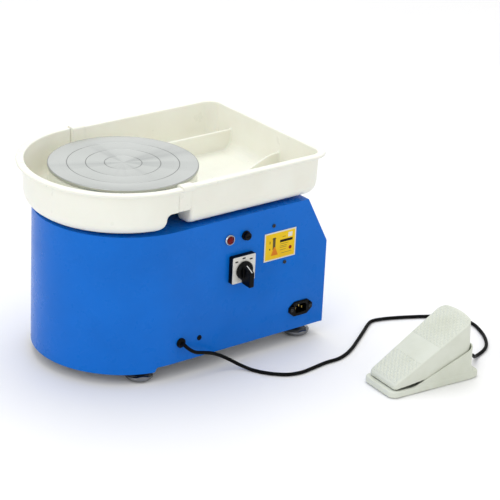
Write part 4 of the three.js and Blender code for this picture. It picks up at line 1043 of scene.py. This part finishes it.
# ---- cord ----
CORD_RADIUS = 3
CORD_ROUTE = [
    (18.5, -155.9, 61.6), (18.5, -160, 61.4), (20.2, -165, 58.7), (26.5, -168, 53),
    (36.3, -169, 47), (51.9, -169.5, 42.6), (69.3, -170, 37.2), (87.7, -171, 28.2),
    (105.3, -174.5, 17), (119.5, -184, 7.8), (131, -201, 3.2), (141.7, -220.6, 3.2),
    (156, -236.6, 3.2), (173.3, -248.6, 3.2), (195.9, -253.5, 3.2), (223.9, -250.8, 3.2),
    (253.5, -247, 3.2), (280.5, -247, 3.2), (301.6, -241.2, 3.2), (326.3, -228.7, 3.2),
    (354.6, -210.1, 3.2), (388.7, -186.6, 3.2), (415, -168.3, 3.2), (426, -162.8, 3.2),
    (436, -162, 3.2), (446, -164.2, 3.2), (459, -168, 3.2), (487.7, -180.2, 3.2),
    (518.1, -195.5, 3.2), (546, -212.5, 3.2), (566, -234, 3.2), (573.5, -254, 3.2),
    (573, -273, 3.2), (566.3, -293, 3.2), (559, -309.7, 3.2), (549.8, -325.1, 3.2),
    (539, -339, 3.2), (527, -350.2, 3.2), (513, -358.2, 3.2), (498.5, -364, 3.4),
    (484.5, -370, 5.4), (474.5, -376.8, 9.8), (467.4, -381.8, 15.2), (462.3, -383.9, 18.7),
    (457.7, -383.78, 19),
]
line = [AXIS + Vector(p) * MM for p in route_through(CORD_ROUTE, 8)]
line.insert(0, AXIS + Vector((18.5, -151.5, 61.6)) * MM)
cord_data = bpy.data.curves.new("pedal_lead", "CURVE")
cord_data.dimensions = "3D"
cord_data.bevel_depth = CORD_RADIUS * MM
cord_data.bevel_resolution = 6
cord_data.use_fill_caps = True
spline = cord_data.splines.new("POLY")
spline.points.add(len(line) - 1)
for point, spot in zip(spline.points, line):
    point.co = (*spot, 1)
spline.use_smooth = True
cord_data.materials.append(rubber.material)
lead = bpy.data.objects.new("pedal_lead", cord_data)
bpy.context.scene.collection.objects.link(lead)
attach(lead, "machine")
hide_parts("pedal_cord")

GLAND_CORNERS = [(3.1, 9.2), (4.3, 9.2), (4.3, 18), (6.6, 18, 0.4), (6.6, 20, 0.4)]
for k in range(4):
    GLAND_CORNERS += [(6.0 - 0.45 * k, 20.3 + 2.9 * k, 0.2), (5.0 - 0.4 * k, 20.9 + 2.9 * k, 0.2),
                      (5.0 - 0.4 * k, 21.9 + 2.9 * k, 0.2), (5.9 - 0.45 * k, 22.4 + 2.9 * k, 0.2)]
GLAND_CORNERS += [(4.2, 32, 0.3), (3.1, 32)]
GLAND = PEDAL @ Matrix.Translation(Vector((70, 0, 19)) * MM) @ Matrix.Rotation(math.pi / 2, 4, "Y")
gland = piece("strain_relief", lathe(GLAND_CORNERS, 48), GLAND, rubber, "machine",
              ["pedal_gland"], 35)

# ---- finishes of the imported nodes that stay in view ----
KEPT = {
    steel: ["head_flange", "spindle", "upper_bearing", "lower_bearing", "motor_shaft", "treadle_pin",
            "bearing_bolt_1", "bearing_bolt_2", "bearing_bolt_3", "bearing_bolt_4"],
    plate_steel: ["base_plate", "motor_stand", "board_tray"],
    iron: ["bearing_housing", "driven_pulley", "motor"],
    aluminium: ["motor_pulley", "heat_sink"],
    rubber: ["drive_belt"],
    board: ["control_board"],
    black_gloss: ["switch_block", "speed_pot"],
    brass: ["friction_washer_1", "friction_washer_2", "pot_pinion"],
}
for finish, names in KEPT.items():
    for name in names:
        NODES[name].data.materials.clear()
        NODES[name].data.materials.append(finish.material)
        NODES[name].data.shade_smooth()
        NODES[name].data.set_sharp_from_angle(angle=math.radians(30))
